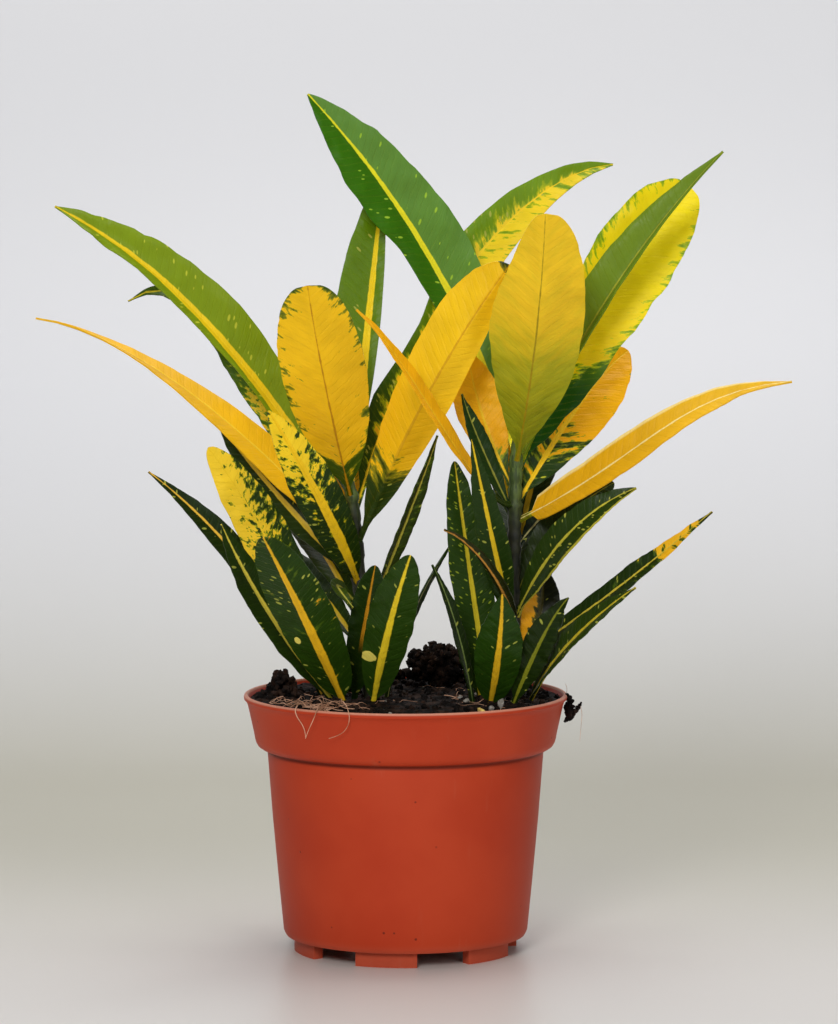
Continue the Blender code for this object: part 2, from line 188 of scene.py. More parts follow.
# %% A material whose nodes come from one method
class Finish:
    """A new material, and short ways to the nodes that this lesson uses."""

    def __init__(self, name):
        self.material = bpy.data.materials.new(name)
        self.material.use_nodes = True
        self.tree = self.material.node_tree
        self.shader = self.tree.nodes["Principled BSDF"]

    def node(self, kind, settings=None, values=None, output=0):
        made = self.tree.nodes.new(kind)
        for name, value in (settings or {}).items():
            if name == "stops":
                self.set_stops(made.color_ramp, value)
            else:
                setattr(made, name, value)
        for name, value in (values or {}).items():
            self.feed(made.inputs[name], value)
        return Wire(self, made.outputs[output])

    def set_stops(self, ramp, stops):
        while len(ramp.elements) < len(stops):
            ramp.elements.new(1.0)
        for element, (place, value) in zip(ramp.elements, stops):
            element.position = place
            element.color = (value, value, value, 1.0)

    def feed(self, socket, value):
        if isinstance(value, Wire):
            self.tree.links.new(value.socket, socket)
        else:
            socket.default_value = value

    def set(self, **values):
        """Set the shader's sockets; Base_Color stands for Base Color."""
        for name, value in values.items():
            self.feed(self.shader.inputs[name.replace("_", " ")], value)

    def mix(self, mask, first, second):
        """The first colour where the mask is 0, the second where it is 1."""
        settings = {"data_type": "RGBA", "clamp_factor": True}
        return self.node("ShaderNodeMix", settings, {0: mask, 6: first, 7: second}, output=2)

    def shade(self, colour, amount):
        """A colour made lighter or darker by a number."""
        settings = {"operation": "SCALE"}
        return self.node("ShaderNodeVectorMath", settings, {0: colour, 3: amount})

    def part(self, vector, number):
        """The x, y or z of a vector, by its number: 0, 1 or 2."""
        return self.node("ShaderNodeSeparateXYZ", None, {0: vector}, number)

    def drawn_out(self, place, share):
        """A place squeezed in height, which draws a pattern out into upright streaks."""
        settings = {"vector_type": "POINT"}
        return self.node("ShaderNodeMapping", settings, {0: place, 3: (1, 1, share)})

    def join(self, x, y, z):
        return self.node("ShaderNodeCombineXYZ", None, {0: x, 1: y, 2: z})

    def noise(self, place, scale, detail=2.0, roughness=0.5):
        values = {"Vector": place, "Scale": scale, "Detail": detail, "Roughness": roughness}
        return self.node("ShaderNodeTexNoise", None, values)

    def cells(self, place, scale, output=0):
        values = {"Vector": place, "Scale": scale}
        return self.node("ShaderNodeTexVoronoi", None, values, output)

    def bump(self, height, distance, strength=1.0):
        values = {"Height": height, "Distance": distance, "Strength": strength}
        self.feed(self.shader.inputs["Normal"], self.node("ShaderNodeBump", None, values))

    def object_place(self):
        return self.node("ShaderNodeTexCoord", output=3)


def linear(red, green, blue):
    """A screen colour, 0 to 255, as the linear colour that a shader takes."""
    shares = [value / 255 for value in (red, green, blue)]
    channels = [s / 12.92 if s <= 0.04045 else ((s + 0.055) / 1.055) ** 2.4 for s in shares]
    return (*channels, 1.0)

# %% [markdown]
# ## The camera
# The view is taken with a long lens from 1.6 m away, at about the height of the top leaves
# and looking slightly down, as for a catalogue picture.

# %% Camera
CAMERA_PLACE = (0.005, -1.6, 0.2973)
CAMERA_TILT = 4.8
LENS = 152.6
SENSOR = 36.0

lens = bpy.data.cameras.new("camera")
lens.sensor_fit = "VERTICAL"
lens.sensor_height = SENSOR
lens.lens = LENS
camera = bpy.data.objects.new("camera", lens)
camera.location = CAMERA_PLACE
camera.rotation_euler = (math.radians(90 - CAMERA_TILT), 0, 0)
bpy.context.collection.objects.link(camera)
bpy.context.scene.camera = camera
print("camera", round(camera.location.length, 2), "m from the origin")

# %% [markdown]
# ## The pot's shape
# A nursery pot is one thin moulding: a rolled lip, a wide band, a step, a tapered wall and
# a ring of short feet. It could be a profile with a Screw modifier. Here it is drawn up
# ring by ring, as on a potter's wheel: a circle is extruded, and each new ring is resized.
# Its rim and its height come from the frame, so the new pot covers the plain one exactly.

# %% Turn a shape ring by ring
def first_ring(name, steps, radius, place):
    """A circle in edit mode, with all its points selected."""
    deselect_all()
    bpy.ops.mesh.primitive_circle_add(vertices=steps, radius=radius * MM, location=place)
    thing = bpy.context.object
    thing.name = name
    bpy.ops.object.mode_set(mode="EDIT")
    bpy.ops.mesh.select_mode(type="VERT")
    bpy.ops.mesh.select_all(action="SELECT")
    return thing


def next_ring(move, growth, centre):
    """Extrude the selected ring, and resize the new one about its centre."""
    bpy.ops.mesh.extrude_region_move(TRANSFORM_OT_translate={"value": move})
    bpy.ops.transform.resize(value=(growth, growth, 1), center_override=centre)


def close_ends():
    bpy.ops.mesh.select_all(action="SELECT")
    bpy.ops.mesh.fill_holes(sides=0)
    bpy.ops.mesh.select_all(action="SELECT")
    bpy.ops.mesh.normals_make_consistent(inside=False)
    bpy.ops.object.mode_set(mode="OBJECT")


def turn_rings(name, rings, steps):
    """A closed turned shape through rings of (radius, height)."""
    radius, height = rings[0]
    thing = first_ring(name, steps, radius, (0, 0, height * MM))
    for next_radius, next_height in rings[1:]:
        rise = (0, 0, (next_height - height) * MM)
        next_ring(rise, next_radius / radius, (0, 0, next_height * MM))
        radius, height = next_radius, next_height
    close_ends()
    return thing

# %% Measure the plain pot and draw the new one
pot_low, pot_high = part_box("pot")
RIM = (pot_high.x - pot_low.x) / 2 / MM
TOP = pot_high.z / MM
WALL = 1.4
POT_STEPS = 180
BASE = 5.6
BASE_RADIUS = 45.0
FOOT_RINGS = (41.5, 37.6)
FOOT_ARC = 32
FOOT_TURN = -10
FOOT_COUNT = 6
DRAIN_CIRCLE = 29.0
DRAIN_RADIUS = 3.5
DRILL_LENGTH = 8
MOULD_RADIUS = 0.35

# (radius, height) up the inside, and then down the outside
inner_rings = [
    (36, BASE + WALL), (42.2, BASE + WALL), (43.4, BASE + WALL + 0.8),
    (50.2, 75.2), (51.0, 76.4), (53.4, 77.4), (54.6, 79.2), (58.4, TOP - 0.5), (58.7, TOP - 0.1),
]
outer_rings = [
    (RIM - 0.7, TOP), (RIM - 0.2, TOP - 0.3), (RIM, TOP - 0.9), (RIM - 0.1, TOP - 1.7),
    (RIM - 0.9, TOP - 2.4), (RIM - 1.5, TOP - 4), (56.3, 81.5), (55.9, 79.2), (55.5, 77.8),
    (54.8, 76.6), (53.6, 75.8), (52.2, 75.3), (51.2, 75.1), (50.95, 74.6), (51.2, 73.4),
    (49.4, 50), (47.2, 26), (45.4, BASE + 2), (BASE_RADIUS, BASE + 1), (BASE_RADIUS - 0.5, BASE + 0.2),
    (BASE_RADIUS - 1.2, BASE), (FOOT_RINGS[0], BASE), (FOOT_RINGS[1], BASE), (34, BASE),
]
pot = turn_rings("nursery_pot", inner_rings + outer_rings, POT_STEPS)


def on_a_foot(face):
    """True for the faces under the base that the feet grow from."""
    middle = face.calc_center_median()
    turn = math.degrees(math.atan2(middle.y, middle.x)) - FOOT_TURN + 90 + FOOT_ARC / 2
    on_arc = turn % (360 / FOOT_COUNT) < FOOT_ARC
    on_ring = FOOT_RINGS[1] * MM < middle.xy.length < FOOT_RINGS[0] * MM
    return on_arc and on_ring and middle.z < (BASE + 0.1) * MM and face.normal.z < -0.9


settle(pot)
edit(pot)
pick(pot, on_a_foot, "faces")
print("faces that become feet:", sum(face.select for face in bmesh.from_edit_mesh(pot.data).faces))
bpy.ops.mesh.extrude_region_move(TRANSFORM_OT_translate={"value": (0, 0, -BASE * MM)})
bpy.ops.object.mode_set(mode="OBJECT")

# %% Drain holes, and the small radius that a mould leaves on every edge
def around(turn, reach):
    """x and y at an angle and a distance from the middle of the pot."""
    return reach * math.cos(turn), reach * math.sin(turn)


for number in range(FOOT_COUNT):
    turn = math.radians(FOOT_TURN - 90 + (number + 0.5) * 360 / FOOT_COUNT)
    x, y = around(turn, DRAIN_CIRCLE)
    deselect_all()
    bpy.ops.mesh.primitive_cylinder_add(
        vertices=32, radius=DRAIN_RADIUS * MM, depth=DRILL_LENGTH * MM,
        location=(x * MM, y * MM, BASE * MM))
    drill = bpy.context.object
    cut = pot.modifiers.new("Drain", "BOOLEAN")
    cut.object = drill
    apply_modifiers(pot)
    bpy.data.objects.remove(drill)

soften = pot.modifiers.new("Mould radius", "BEVEL")
soften.width = MOULD_RADIUS * MM
soften.segments = 2
soften.limit_method = "ANGLE"
soften.angle_limit = math.radians(50)
apply_modifiers(pot)
settle(pot, angle=35)
print("pot faces:", len(pot.data.polygons), "height", round(pot.dimensions.z / MM, 1))

# %% [markdown]
# ## The pot's plastic
# Moulded polypropylene has one colour all through, a soft satin surface with a very fine
# grain, and it picks up dust, water marks, rubbed patches and specks of peat. The colour
# comes from slow noise, and the specks are the few cells of a Voronoi texture whose own
# random number is high. The pale lip is a painted highlight, the dark line under the band
# is painted shade, and the paler feet are painted light.

# %% Terracotta plastic
def terracotta_plastic():
    paint = Finish("terracotta_plastic")
    place = paint.object_place()
    height = paint.part(place, 2)
    slow = paint.noise(place, 28, 3)
    fine = paint.noise(place, 900, 2)
    streaks = paint.noise(paint.drawn_out(place, 0.12), 160, 3, 0.6)
    colour = paint.mix(slow.step(0.3, 0.7), POT_RED, POT_ORANGE)
    colour = paint.mix(streaks.step(0.62, 0.8) * 0.22, colour, POT_DUST_AND_FOOT_LIGHT)
    # Painted highlight: a pale band along the lip, where the rim catches the light
    lip = height.step((TOP - 1.0) * MM, (TOP - 0.35) * MM)
    colour = paint.mix(lip * 0.85, colour, POT_LIP_HIGHLIGHT)
    # Painted light: the feet and the lowest few mm of the wall are made paler, for the light they catch
    foot = 1 - height.step((BASE - 1) * MM, (BASE + 4) * MM)
    colour = paint.mix(foot * 0.25, colour, POT_DUST_AND_FOOT_LIGHT)
    # Painted shade: a dark line under the band, where the band's shadow falls
    starts, full, fades, ends = (level * MM for level in GROOVE_SHADE_LEVELS)
    shade_under_band = height.step(starts, full) * (1 - height.step(fades, ends))
    colour = paint.mix(shade_under_band * 0.75, colour, POT_GROOVE_SHADE)
    specks = speck_mask(paint, place, scale=260, rare=0.93, size=0.15)
    crumbs = speck_mask(paint, place, scale=110, rare=0.985, size=0.1)
    colour = paint.mix((specks * 0.75).at_least(crumbs), colour, POT_SPECK)
    paint.set(Base_Color=colour, Roughness=0.46 + slow * 0.08 + streaks.step(0.6, 0.8) * 0.12)
    paint.set(Specular_IOR_Level=0.16)
    paint.bump(fine * 0.25 + slow * 0.6 + specks * 0.8, 0.25 * MM, 0.5)
    return paint.material


def speck_mask(paint, place, scale, rare, size):
    """Dots in the few cells whose random number is above a limit."""
    distance = paint.cells(place, scale)
    luck = paint.part(paint.cells(place, scale, 1), 0)
    return (1 - distance.step(size * 0.6, size)) * luck.step(rare, rare + 0.01)


POT_RED = linear(182, 58, 28)
POT_ORANGE = linear(191, 66, 34)
# Pale dust for the streaks, and painted light on the feet
POT_DUST_AND_FOOT_LIGHT = linear(188, 112, 86)
POT_LIP_HIGHLIGHT = linear(212, 148, 122)
POT_SPECK = linear(92, 34, 20)
POT_GROOVE_SHADE = linear(96, 30, 16)
GROOVE_SHADE_LEVELS = (73.4, 74.6, 75.1, 76.2)    # the painted shade under the band starts, is full, fades, ends
place_piece(pot, [terracotta_plastic()], "terracotta_plastic", "pot")

# %% [markdown]
# ## Peat
# Potting soil is dark peat: loose crumbs of every size, hair roots, and a few pale grains.
# A displaced surface alone looks like cloth, and thousands of particles can't be exported.
# So the bed is one turned shape with three sizes of relief. About 1,200 low crumbs, copied
# from six shapes, lie on it: all over, in a heap at the left and in a bank at the back.

# %% The bed, turned like the pot and roughened on top
soil_low, soil_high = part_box("soil")
SOIL_RADIUS = (soil_high.x - soil_low.x) / 2 / MM
SOIL_TOP = soil_high.z / MM
EDGE_FALL = 0.9
SOIL_EDGE = SOIL_TOP - EDGE_FALL
SOIL_FLOOR = soil_low.z / MM
SOIL_STEPS = 160
TOP_RINGS = 45

bed_rings = [(43.0, SOIL_FLOOR), (49.7, 75.2), (54.0, 79.6), (SOIL_RADIUS, SOIL_EDGE)]
for ring in range(1, TOP_RINGS):
    radius = SOIL_RADIUS * (1 - ring / TOP_RINGS)
    bed_rings.append((radius, SOIL_TOP - EDGE_FALL * (radius / SOIL_RADIUS) ** 2))
soil = turn_rings("soil_bed", bed_rings, SOIL_STEPS)
settle(soil)

edit(soil)
pick(soil, lambda vert: vert.co.z > (SOIL_EDGE + 0.05) * MM)
soil.vertex_groups.new(name="top")
bpy.ops.object.vertex_group_set_active(group="top")
bpy.context.tool_settings.vertex_group_weight = 1.0
bpy.ops.object.vertex_group_assign()
bpy.ops.object.mode_set(mode="OBJECT")

# Relief: a name, the size of its grain and its height
for label, grain, height in (("hollows", 14, 2.6), ("lumps", 4.5, 2.0), ("crumble", 1.4, 1.3)):
    pattern = bpy.data.textures.new(label, "CLOUDS")
    pattern.noise_scale = grain * MM
    relief = soil.modifiers.new(label, "DISPLACE")
    relief.texture = pattern
    relief.texture_coords = "GLOBAL"
    relief.direction = "Z"
    relief.vertex_group = "top"
    relief.strength = height * MM
apply_modifiers(soil)
settle(soil)
print("soil faces:", len(soil.data.polygons))


def ground(x, y):
    """Height of the soil's surface at a place, in mm."""
    hit, place, _, _ = soil.ray_cast(Vector((x, y, 200)) * MM, Vector((0, 0, -1)))
    return place.z / MM if hit else SOIL_EDGE

# %% Crumb shapes: small balls with their points pushed about
CRUMB_ROUGHNESS = 0.42      # how far the points of a ball of radius 1 are pushed


def crumb_shapes(name, count, seed):
    shapes = []
    for number in range(count):
        deselect_all()
        bpy.ops.mesh.primitive_uv_sphere_add(segments=7, ring_count=5, radius=MM)
        crumb = bpy.context.object
        crumb.name = f"{name}_{number}"
        bpy.ops.object.mode_set(mode="EDIT")
        bpy.ops.mesh.select_all(action="SELECT")
        bpy.ops.transform.vertex_random(offset=CRUMB_ROUGHNESS * MM, seed=seed + number)
        bpy.ops.object.mode_set(mode="OBJECT")
        shapes.append(crumb)
    return shapes


def scatter(name, shapes, spots, spread):
    """One piece of many crumbs. A spot is a place and a size, in mm."""
    crumbs = []
    for place, size in spots:
        crumb = copy_of(spread.choice(shapes), name)
        crumb.location = Vector(place) * MM
        crumb.rotation_euler = [spread.uniform(0, 2 * math.pi) for _ in range(3)]
        crumb.scale = [size * spread.uniform(0.65, 1.25) for _ in range(3)]
        crumbs.append(crumb)
    return merge(crumbs, name)


def merge(things, name):
    """Join several objects into one with its place in its mesh."""
    deselect_all()
    for thing in things:
        thing.select_set(True)
    bpy.context.view_layer.objects.active = things[0]
    bpy.ops.object.join()
    joined = bpy.context.object
    joined.name = name
    joined.data.name = name
    settle(joined, angle=40)
    return joined


crumbs = crumb_shapes("crumb", count=6, seed=11)
chance = random.Random(5)

# %% Crumbs all over the bed, in a heap at the left and in a bank at the back
BED_CRUMBS, HEAP_CRUMBS, BANK_CRUMBS = 900, 150, 170
HEAP_X, HEAP_Y, HEAP_HEIGHT = -46, 4, 9.5
BANK_TURN = 75

spots = []
for _ in range(BED_CRUMBS):
    turn = chance.uniform(0, 2 * math.pi)
    x, y = around(turn, (SOIL_RADIUS - 1.6) * math.sqrt(chance.uniform(0, 1)))
    size = 0.4 + 1.2 * chance.random() ** 3
    spots.append(((x, y, ground(x, y) + size * 0.25), size))
for _ in range(HEAP_CRUMBS):
    x, y = chance.gauss(HEAP_X, 3.8), chance.gauss(HEAP_Y, 7)
    if math.hypot(x, y) < SOIL_RADIUS - 2:
        heap = HEAP_HEIGHT * math.exp(-((x - HEAP_X) / 5) ** 2 - ((y - HEAP_Y) / 8) ** 2)
        size = chance.uniform(0.7, 1.7)
        spots.append(((x, y, ground(x, y) + heap * chance.uniform(0.1, 1.0)), size))
bank = random.Random(8)
for _ in range(BANK_CRUMBS):
    turn = math.radians(bank.gauss(BANK_TURN, 14))
    x, y = around(turn, SOIL_RADIUS - bank.uniform(1.5, 14))
    size = bank.uniform(0.7, 1.8)
    spots.append(((x, y, ground(x, y) + bank.uniform(0.2, 3.6)), size))
soil_crumbs = scatter("soil_crumbs", crumbs, spots, chance)
print("crumbs on the soil:", len(spots))

# %% The clod on the soil, and the one that hangs on the rim
def clod(node, count, size, name):
    """A cluster of crumbs that fills the ball of a clod's solid."""
    low, high = (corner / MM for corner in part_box(node))
    middle, half = (low + high) / 2, (high - low) / 2
    spots = [(middle, min(half) * 0.75)]
    while len(spots) < count:
        way = Vector([chance.gauss(0, 1) for _ in range(3)]).normalized()
        depth = chance.uniform(0.45, 0.98)
        place = middle + Vector(a * b for a, b in zip(way * depth, half))
        spots.append((place, size * chance.uniform(0.6, 1.3)))
    return scatter(name, crumbs, spots, chance)


back_clod = clod("soil_clod", count=420, size=1.3, name="back_clod")
rim_spots = [
    ((59.8, -3, 95.0), 0.9), ((60.4, -3.4, 93.8), 1.3), ((61.4, -2.8, 92.6), 1.5),
    ((60.2, -2.6, 91.6), 1.3), ((60.1, -3.6, 90.4), 1.5), ((60.8, -2.8, 89.2), 1.5),
    ((60.4, -3.4, 87.9), 1.5), ((61.1, -2.6, 86.8), 1.4), ((59.8, -3.2, 86.2), 1.0),
    ((59.1, -3.4, 85.4), 0.6), ((62.2, -2.6, 88.2), 1.3), ((63.1, -3.2, 89.3), 1.2),
    ((63.9, -2.8, 90.4), 1.0), ((64.5, -3.2, 91.4), 0.8), ((65.0, -3, 92.2), 0.5),
    ((61.8, -4.4, 91.2), 1.0), ((61.2, -1.2, 90.0), 1.2), ((60.8, -4.6, 88.6), 1.1),
    ((60.0, -1.6, 88.2), 1.1), ((61.0, -1.8, 94.2), 0.8),
]
rim_clod = scatter("hanging_clod", crumbs, rim_spots, chance)
print("clod faces:", len(back_clod.data.polygons), "and", len(rim_clod.data.polygons))

# %% Pale grains: a few large ones at the front, and small ones anywhere
SMALL_GRAINS = 18
FEED_SPOTS = [((27.6, -50.5, 95.2), 1.3), ((-20, 30, 95), 1.5)]
grain_spots = [
    ((-5.4, -53, 94.6), 0.8), ((34.6, -42, 97.0), 1.7),
    ((31.2, -43, 95.4), 1.0), ((22.1, -35, 97.0), 1.1),
]
for _ in range(SMALL_GRAINS):
    turn = chance.uniform(0, 2 * math.pi)
    x, y = around(turn, (SOIL_RADIUS - 3) * math.sqrt(chance.random()))
    grain_spots.append(((x, y, ground(x, y) + 0.4), chance.uniform(0.35, 0.9)))
perlite = scatter("perlite_grains", crumbs, grain_spots, chance)
feed = scatter("feed_grains", crumbs, FEED_SPOTS, chance)
for crumb in crumbs:
    bpy.data.objects.remove(crumb)
print("pale grains:", len(grain_spots))

# %% [markdown]
# ## Hair roots
# The plant was potted on not long ago, so a tangle of fine tan roots lies on the soil.
# Three hang over the rim at the front, and two hold the clod on the right. Each is a curve
# with a round bevel, made a mesh. Their points are listed where the shape matters and
# wander at random where it doesn't.

# %% A fibre through points, and the points of one that creeps over the soil
FIBRE_TAPER = 0.6           # how much thinner a fibre is at its end


def fibre(points, radius):
    deselect_all()
    bpy.ops.curve.primitive_nurbs_path_add()
    strand = bpy.context.object
    path = strand.data
    path.splines.clear()
    line = path.splines.new("NURBS")
    line.points.add(len(points) - 1)
    for number, (knot, place) in enumerate(zip(line.points, points)):
        knot.co = (*(Vector(place) * MM), 1.0)
        knot.radius = 1 - FIBRE_TAPER * number / len(points)
    line.use_endpoint_u = True
    line.order_u = 3
    line.resolution_u = 4
    path.bevel_depth = radius * MM
    path.bevel_resolution = 1
    path.use_fill_caps = True
    bpy.ops.object.convert(target="MESH")
    return bpy.context.object


def wandering(x, y, count, stride, drift):
    """Points of a hair root that creeps over the soil."""
    turn = chance.uniform(0, 2 * math.pi)
    points = []
    for _ in range(count):
        points.append((x, y, ground(x, y) + chance.uniform(0.2, drift)))
        turn += chance.gauss(0, 0.55)
        over, up = around(turn, stride)
        if math.hypot(x + over, y + up) > SOIL_RADIUS - 1:
            turn += math.pi * 0.7
            over, up = around(turn, stride)
        x += over
        y += up
    return points

# %% Roots over the rim and at the clod, and a tangle on the soil
RIM_FIBRE, CLOD_FIBRE = 0.22, 0.1       # radius
TANGLE_ROOTS, STRAY_ROOTS = 62, 26
OVER_RIM = [
    [(-24.3, -43.7, 95.5), (-23.6, -47, 98.4), (-22.6, -50.5, 99.0), (-21.2, -54.5, 98.2),
     (-20.3, -57.6, 96.4), (-19.8, -57.3, 93.5), (-20.6, -56.6, 90.2), (-23.2, -55.4, 87.2),
     (-27.4, -53.6, 85.8)],
    [(-37.1, -36.4, 96.0), (-38.4, -42.1, 97.2), (-39.8, -46.2, 95.5), (-39.2, -46.6, 92.9),
     (-37.0, -47.6, 90.0), (-36.0, -48.4, 87.6), (-35.8, -48.8, 85.4)],
    [(-30.5, -46, 95.8), (-31.4, -51.0, 96.6), (-32.2, -52.4, 94.4), (-33.3, -51.6, 91.6),
     (-34.8, -50.0, 88.4), (-35.9, -49.2, 85.2)],
]
AT_CLOD = [
    [(59.6, -2.6, 95.6), (60.2, -3.4, 97.6), (59.2, -3.6, 99.4)],
    [(64.6, -3, 91.8), (65.6, -3.2, 89), (65.1, -3, 84), (64.6, -3, 77.8)],
]
fibres = [fibre(points, RIM_FIBRE) for points in OVER_RIM]
fibres += [fibre(points, CLOD_FIBRE) for points in AT_CLOD]
for _ in range(TANGLE_ROOTS):
    x, y = chance.gauss(-37, 8), chance.gauss(-33, 8)
    if math.hypot(x, y) < SOIL_RADIUS - 2:
        points = wandering(x, y, count=6, stride=2.6, drift=2.6)
        fibres.append(fibre(points, chance.uniform(0.1, 0.2)))
for _ in range(STRAY_ROOTS):
    x, y = chance.uniform(-38, 38), chance.uniform(-38, 38)
    points = wandering(x, y, count=6, stride=2.4, drift=1.2)
    fibres.append(fibre(points, chance.uniform(0.08, 0.15)))
root_fibres = merge(fibres, "root_fibres")
print("fibres:", len(fibres))

# %% Finishes of the soil and what lies on it
def peat(name):
    paint = Finish(name)
    place = paint.object_place()
    coarse = paint.noise(place, 180, 3)
    fine = paint.noise(place, 1400, 3, 0.65)
    colour = paint.mix(coarse.step(0.42, 0.68), PEAT_BLACK, PEAT_BROWN)
    colour = paint.mix(fine.step(0.62, 0.76) * 0.35, colour, PEAT_STRAW)
    paint.set(Base_Color=colour, Roughness=0.95 - 0.2 * coarse.step(0.3, 0.5))
    paint.set(Specular_IOR_Level=0.12)
    paint.bump(fine * 0.6 + coarse * 0.4, 0.8 * MM, 0.9)
    return paint.material


def pale_grain(name, first, second):
    paint = Finish(name)
    place = paint.object_place()
    colour = paint.mix(paint.noise(place, 500, 2).step(0.35, 0.65), first, second)
    pits = paint.cells(place, 2400)
    paint.set(Base_Color=colour, Roughness=0.7 + 0.2 * pits)
    paint.bump(pits, 0.2 * MM, 0.6)
    return paint.material


def root_hair():
    paint = Finish("root_hair")
    place = paint.object_place()
    along = paint.noise(place, 260, 2)
    colour = paint.mix(along.step(0.35, 0.65), ROOT_TAN, ROOT_PALE)
    paint.set(Base_Color=colour, Roughness=0.6 + 0.2 * along)
    paint.bump(paint.noise(place, 3000), 0.05 * MM, 0.5)
    return paint.material


PEAT_BLACK = linear(15, 11, 9)
PEAT_BROWN = linear(54, 37, 28)
PEAT_STRAW = linear(88, 66, 46)
ROOT_TAN = linear(166, 116, 84)
ROOT_PALE = linear(226, 176, 144)
PERLITE = (linear(168, 162, 152), linear(112, 106, 96))
FEED = (linear(226, 198, 104), linear(200, 170, 90))
place_piece(soil, [peat("peat_bed")], "peat", "soil")
crumb_finish = peat("peat_crumb")
place_piece(soil_crumbs, [crumb_finish], "peat")
place_piece(back_clod, [crumb_finish], "peat", "soil_clod")
place_piece(rim_clod, [crumb_finish], "peat", "rim_clod")
place_piece(perlite, [pale_grain("perlite", *PERLITE)], "peat")
place_piece(feed, [pale_grain("feed_grain", *FEED)], "peat")
place_piece(root_fibres, [root_hair()], "peat")

# %% [markdown]
# ## Stems
# A croton's stem is green at the top and turns grey-brown and woody lower down, and here
# the lower part is darker still, as painted shade among the low leaves. Every leaf leaves
# a swollen ring and a scar. The stem is extruded from a circle, ring by ring, along its
# leaning axis, and the rings next to a leaf are a little wider.

# %% Two stems, each closed by a bud
StemLine = namedtuple("StemLine", "foot top")
STEM_LINES = {
    "left": StemLine(Vector((-13, 0, 94.6)), Vector((-20, 0, 171))),
    "right": StemLine(Vector((39, 0, 94.6)), Vector((41, 0, 188))),
}
STEM_RADIUS, STEM_TIP_RADIUS = 2.9, 2.0
STEM_ROOT = 5.0             # how far a stem goes down into the soil
RING_STEP = 1.5
STEM_STEPS = 20
BUD = ((0.8, 1.7), (2.4, 1.5), (4.4, 0.9), (6, 0.15))       # height above the stem, and radius
KNOT_RISE = 0.55            # how much wider a stem is where a leaf grows
KNOT_BELOW = 0.8
KNOT_REACH = 1.1


def stem_share(side, height):
    foot, top = STEM_LINES[side]
    return (height - foot.z) / (top.z - foot.z)


def stem_middle(side, height):
    foot, top = STEM_LINES[side]
    return foot.lerp(top, stem_share(side, height))


def stem_radius(side, height):
    return STEM_RADIUS + stem_share(side, height) * (STEM_TIP_RADIUS - STEM_RADIUS)


def swelling(height, knots):
    """How much wider the stem is next to the leaves."""
    below = [(height - knot + KNOT_BELOW) / KNOT_REACH for knot in knots]
    return sum(KNOT_RISE * math.exp(-(far ** 2)) for far in below)


def build_stem(side, knots):
    foot, top = STEM_LINES[side]
    start = foot.z - STEM_ROOT
    radius = stem_radius(side, start)
    stem = first_ring(side + "_stalk", STEM_STEPS, radius, stem_middle(side, start) * MM)
    count = round((top.z - start) / RING_STEP)
    rings = [(start + (top.z - start) * step / count, None) for step in range(1, count + 1)]
    rings += [(top.z + rise, bud_radius) for rise, bud_radius in BUD]
    height = start
    for next_height, bud_radius in rings:
        wanted = bud_radius or stem_radius(side, next_height) + swelling(next_height, knots)
        centre = stem_middle(side, next_height)
        next_ring((centre - stem_middle(side, height)) * MM, wanted / radius, centre * MM)
        height, radius = next_height, wanted
    close_ends()
    settle(stem, angle=60)
    return stem

# %% Bark, and the green top
def stem_bark():
    paint = Finish("stem_bark")
    place = paint.object_place()
    mottle = paint.noise(place, 380, 3)
    streak = paint.noise(paint.drawn_out(place, 0.2), 900, 2)
    green = paint.mix(streak.step(0.35, 0.65), *STEM_GREENS)
    # The lower stem's woody colour, darkened as painted shade
    woody_in_shade = paint.mix(mottle.step(0.35, 0.65), *STEM_BROWNS_IN_SHADE)
    colour = paint.mix(paint.part(place, 2).step(*GREEN_ABOVE), woody_in_shade, green)
    paint.set(Base_Color=colour, Roughness=0.5 + 0.15 * mottle)
    paint.bump(streak * 0.6 + mottle * 0.4, 0.3 * MM, 0.6)
    return paint.material


STEM_GREENS = (linear(50, 70, 22), linear(96, 118, 52))
# Woody browns darkened almost to black as painted shade on the lower stem
STEM_BROWNS_IN_SHADE = (linear(22, 26, 12), linear(44, 46, 24))
GREEN_ABOVE = (155 * MM, 178 * MM)
print("stems", ", ".join(f"{side} {line.top.z - line.foot.z:.0f} mm" for side, line in STEM_LINES.items()))

# %% [markdown]
# ## Leaves
# A croton leaf is a leathery strap: a short round stalk, a blade folded upwards along a
# thick midrib, wavy thin margins and a shine. There are 54 of them, so they share one flat
# blank. Each copy has its rows resized to the leaf's outline, gets wavy margins by a
# Displace, thickness by a Solidify, and is bent along its midrib by a Curve modifier. The
# midribs are those of the plain solids, point for point. A cloth or a lattice could bend
# the blades too, but then a leaf's place would no longer be known beforehand.

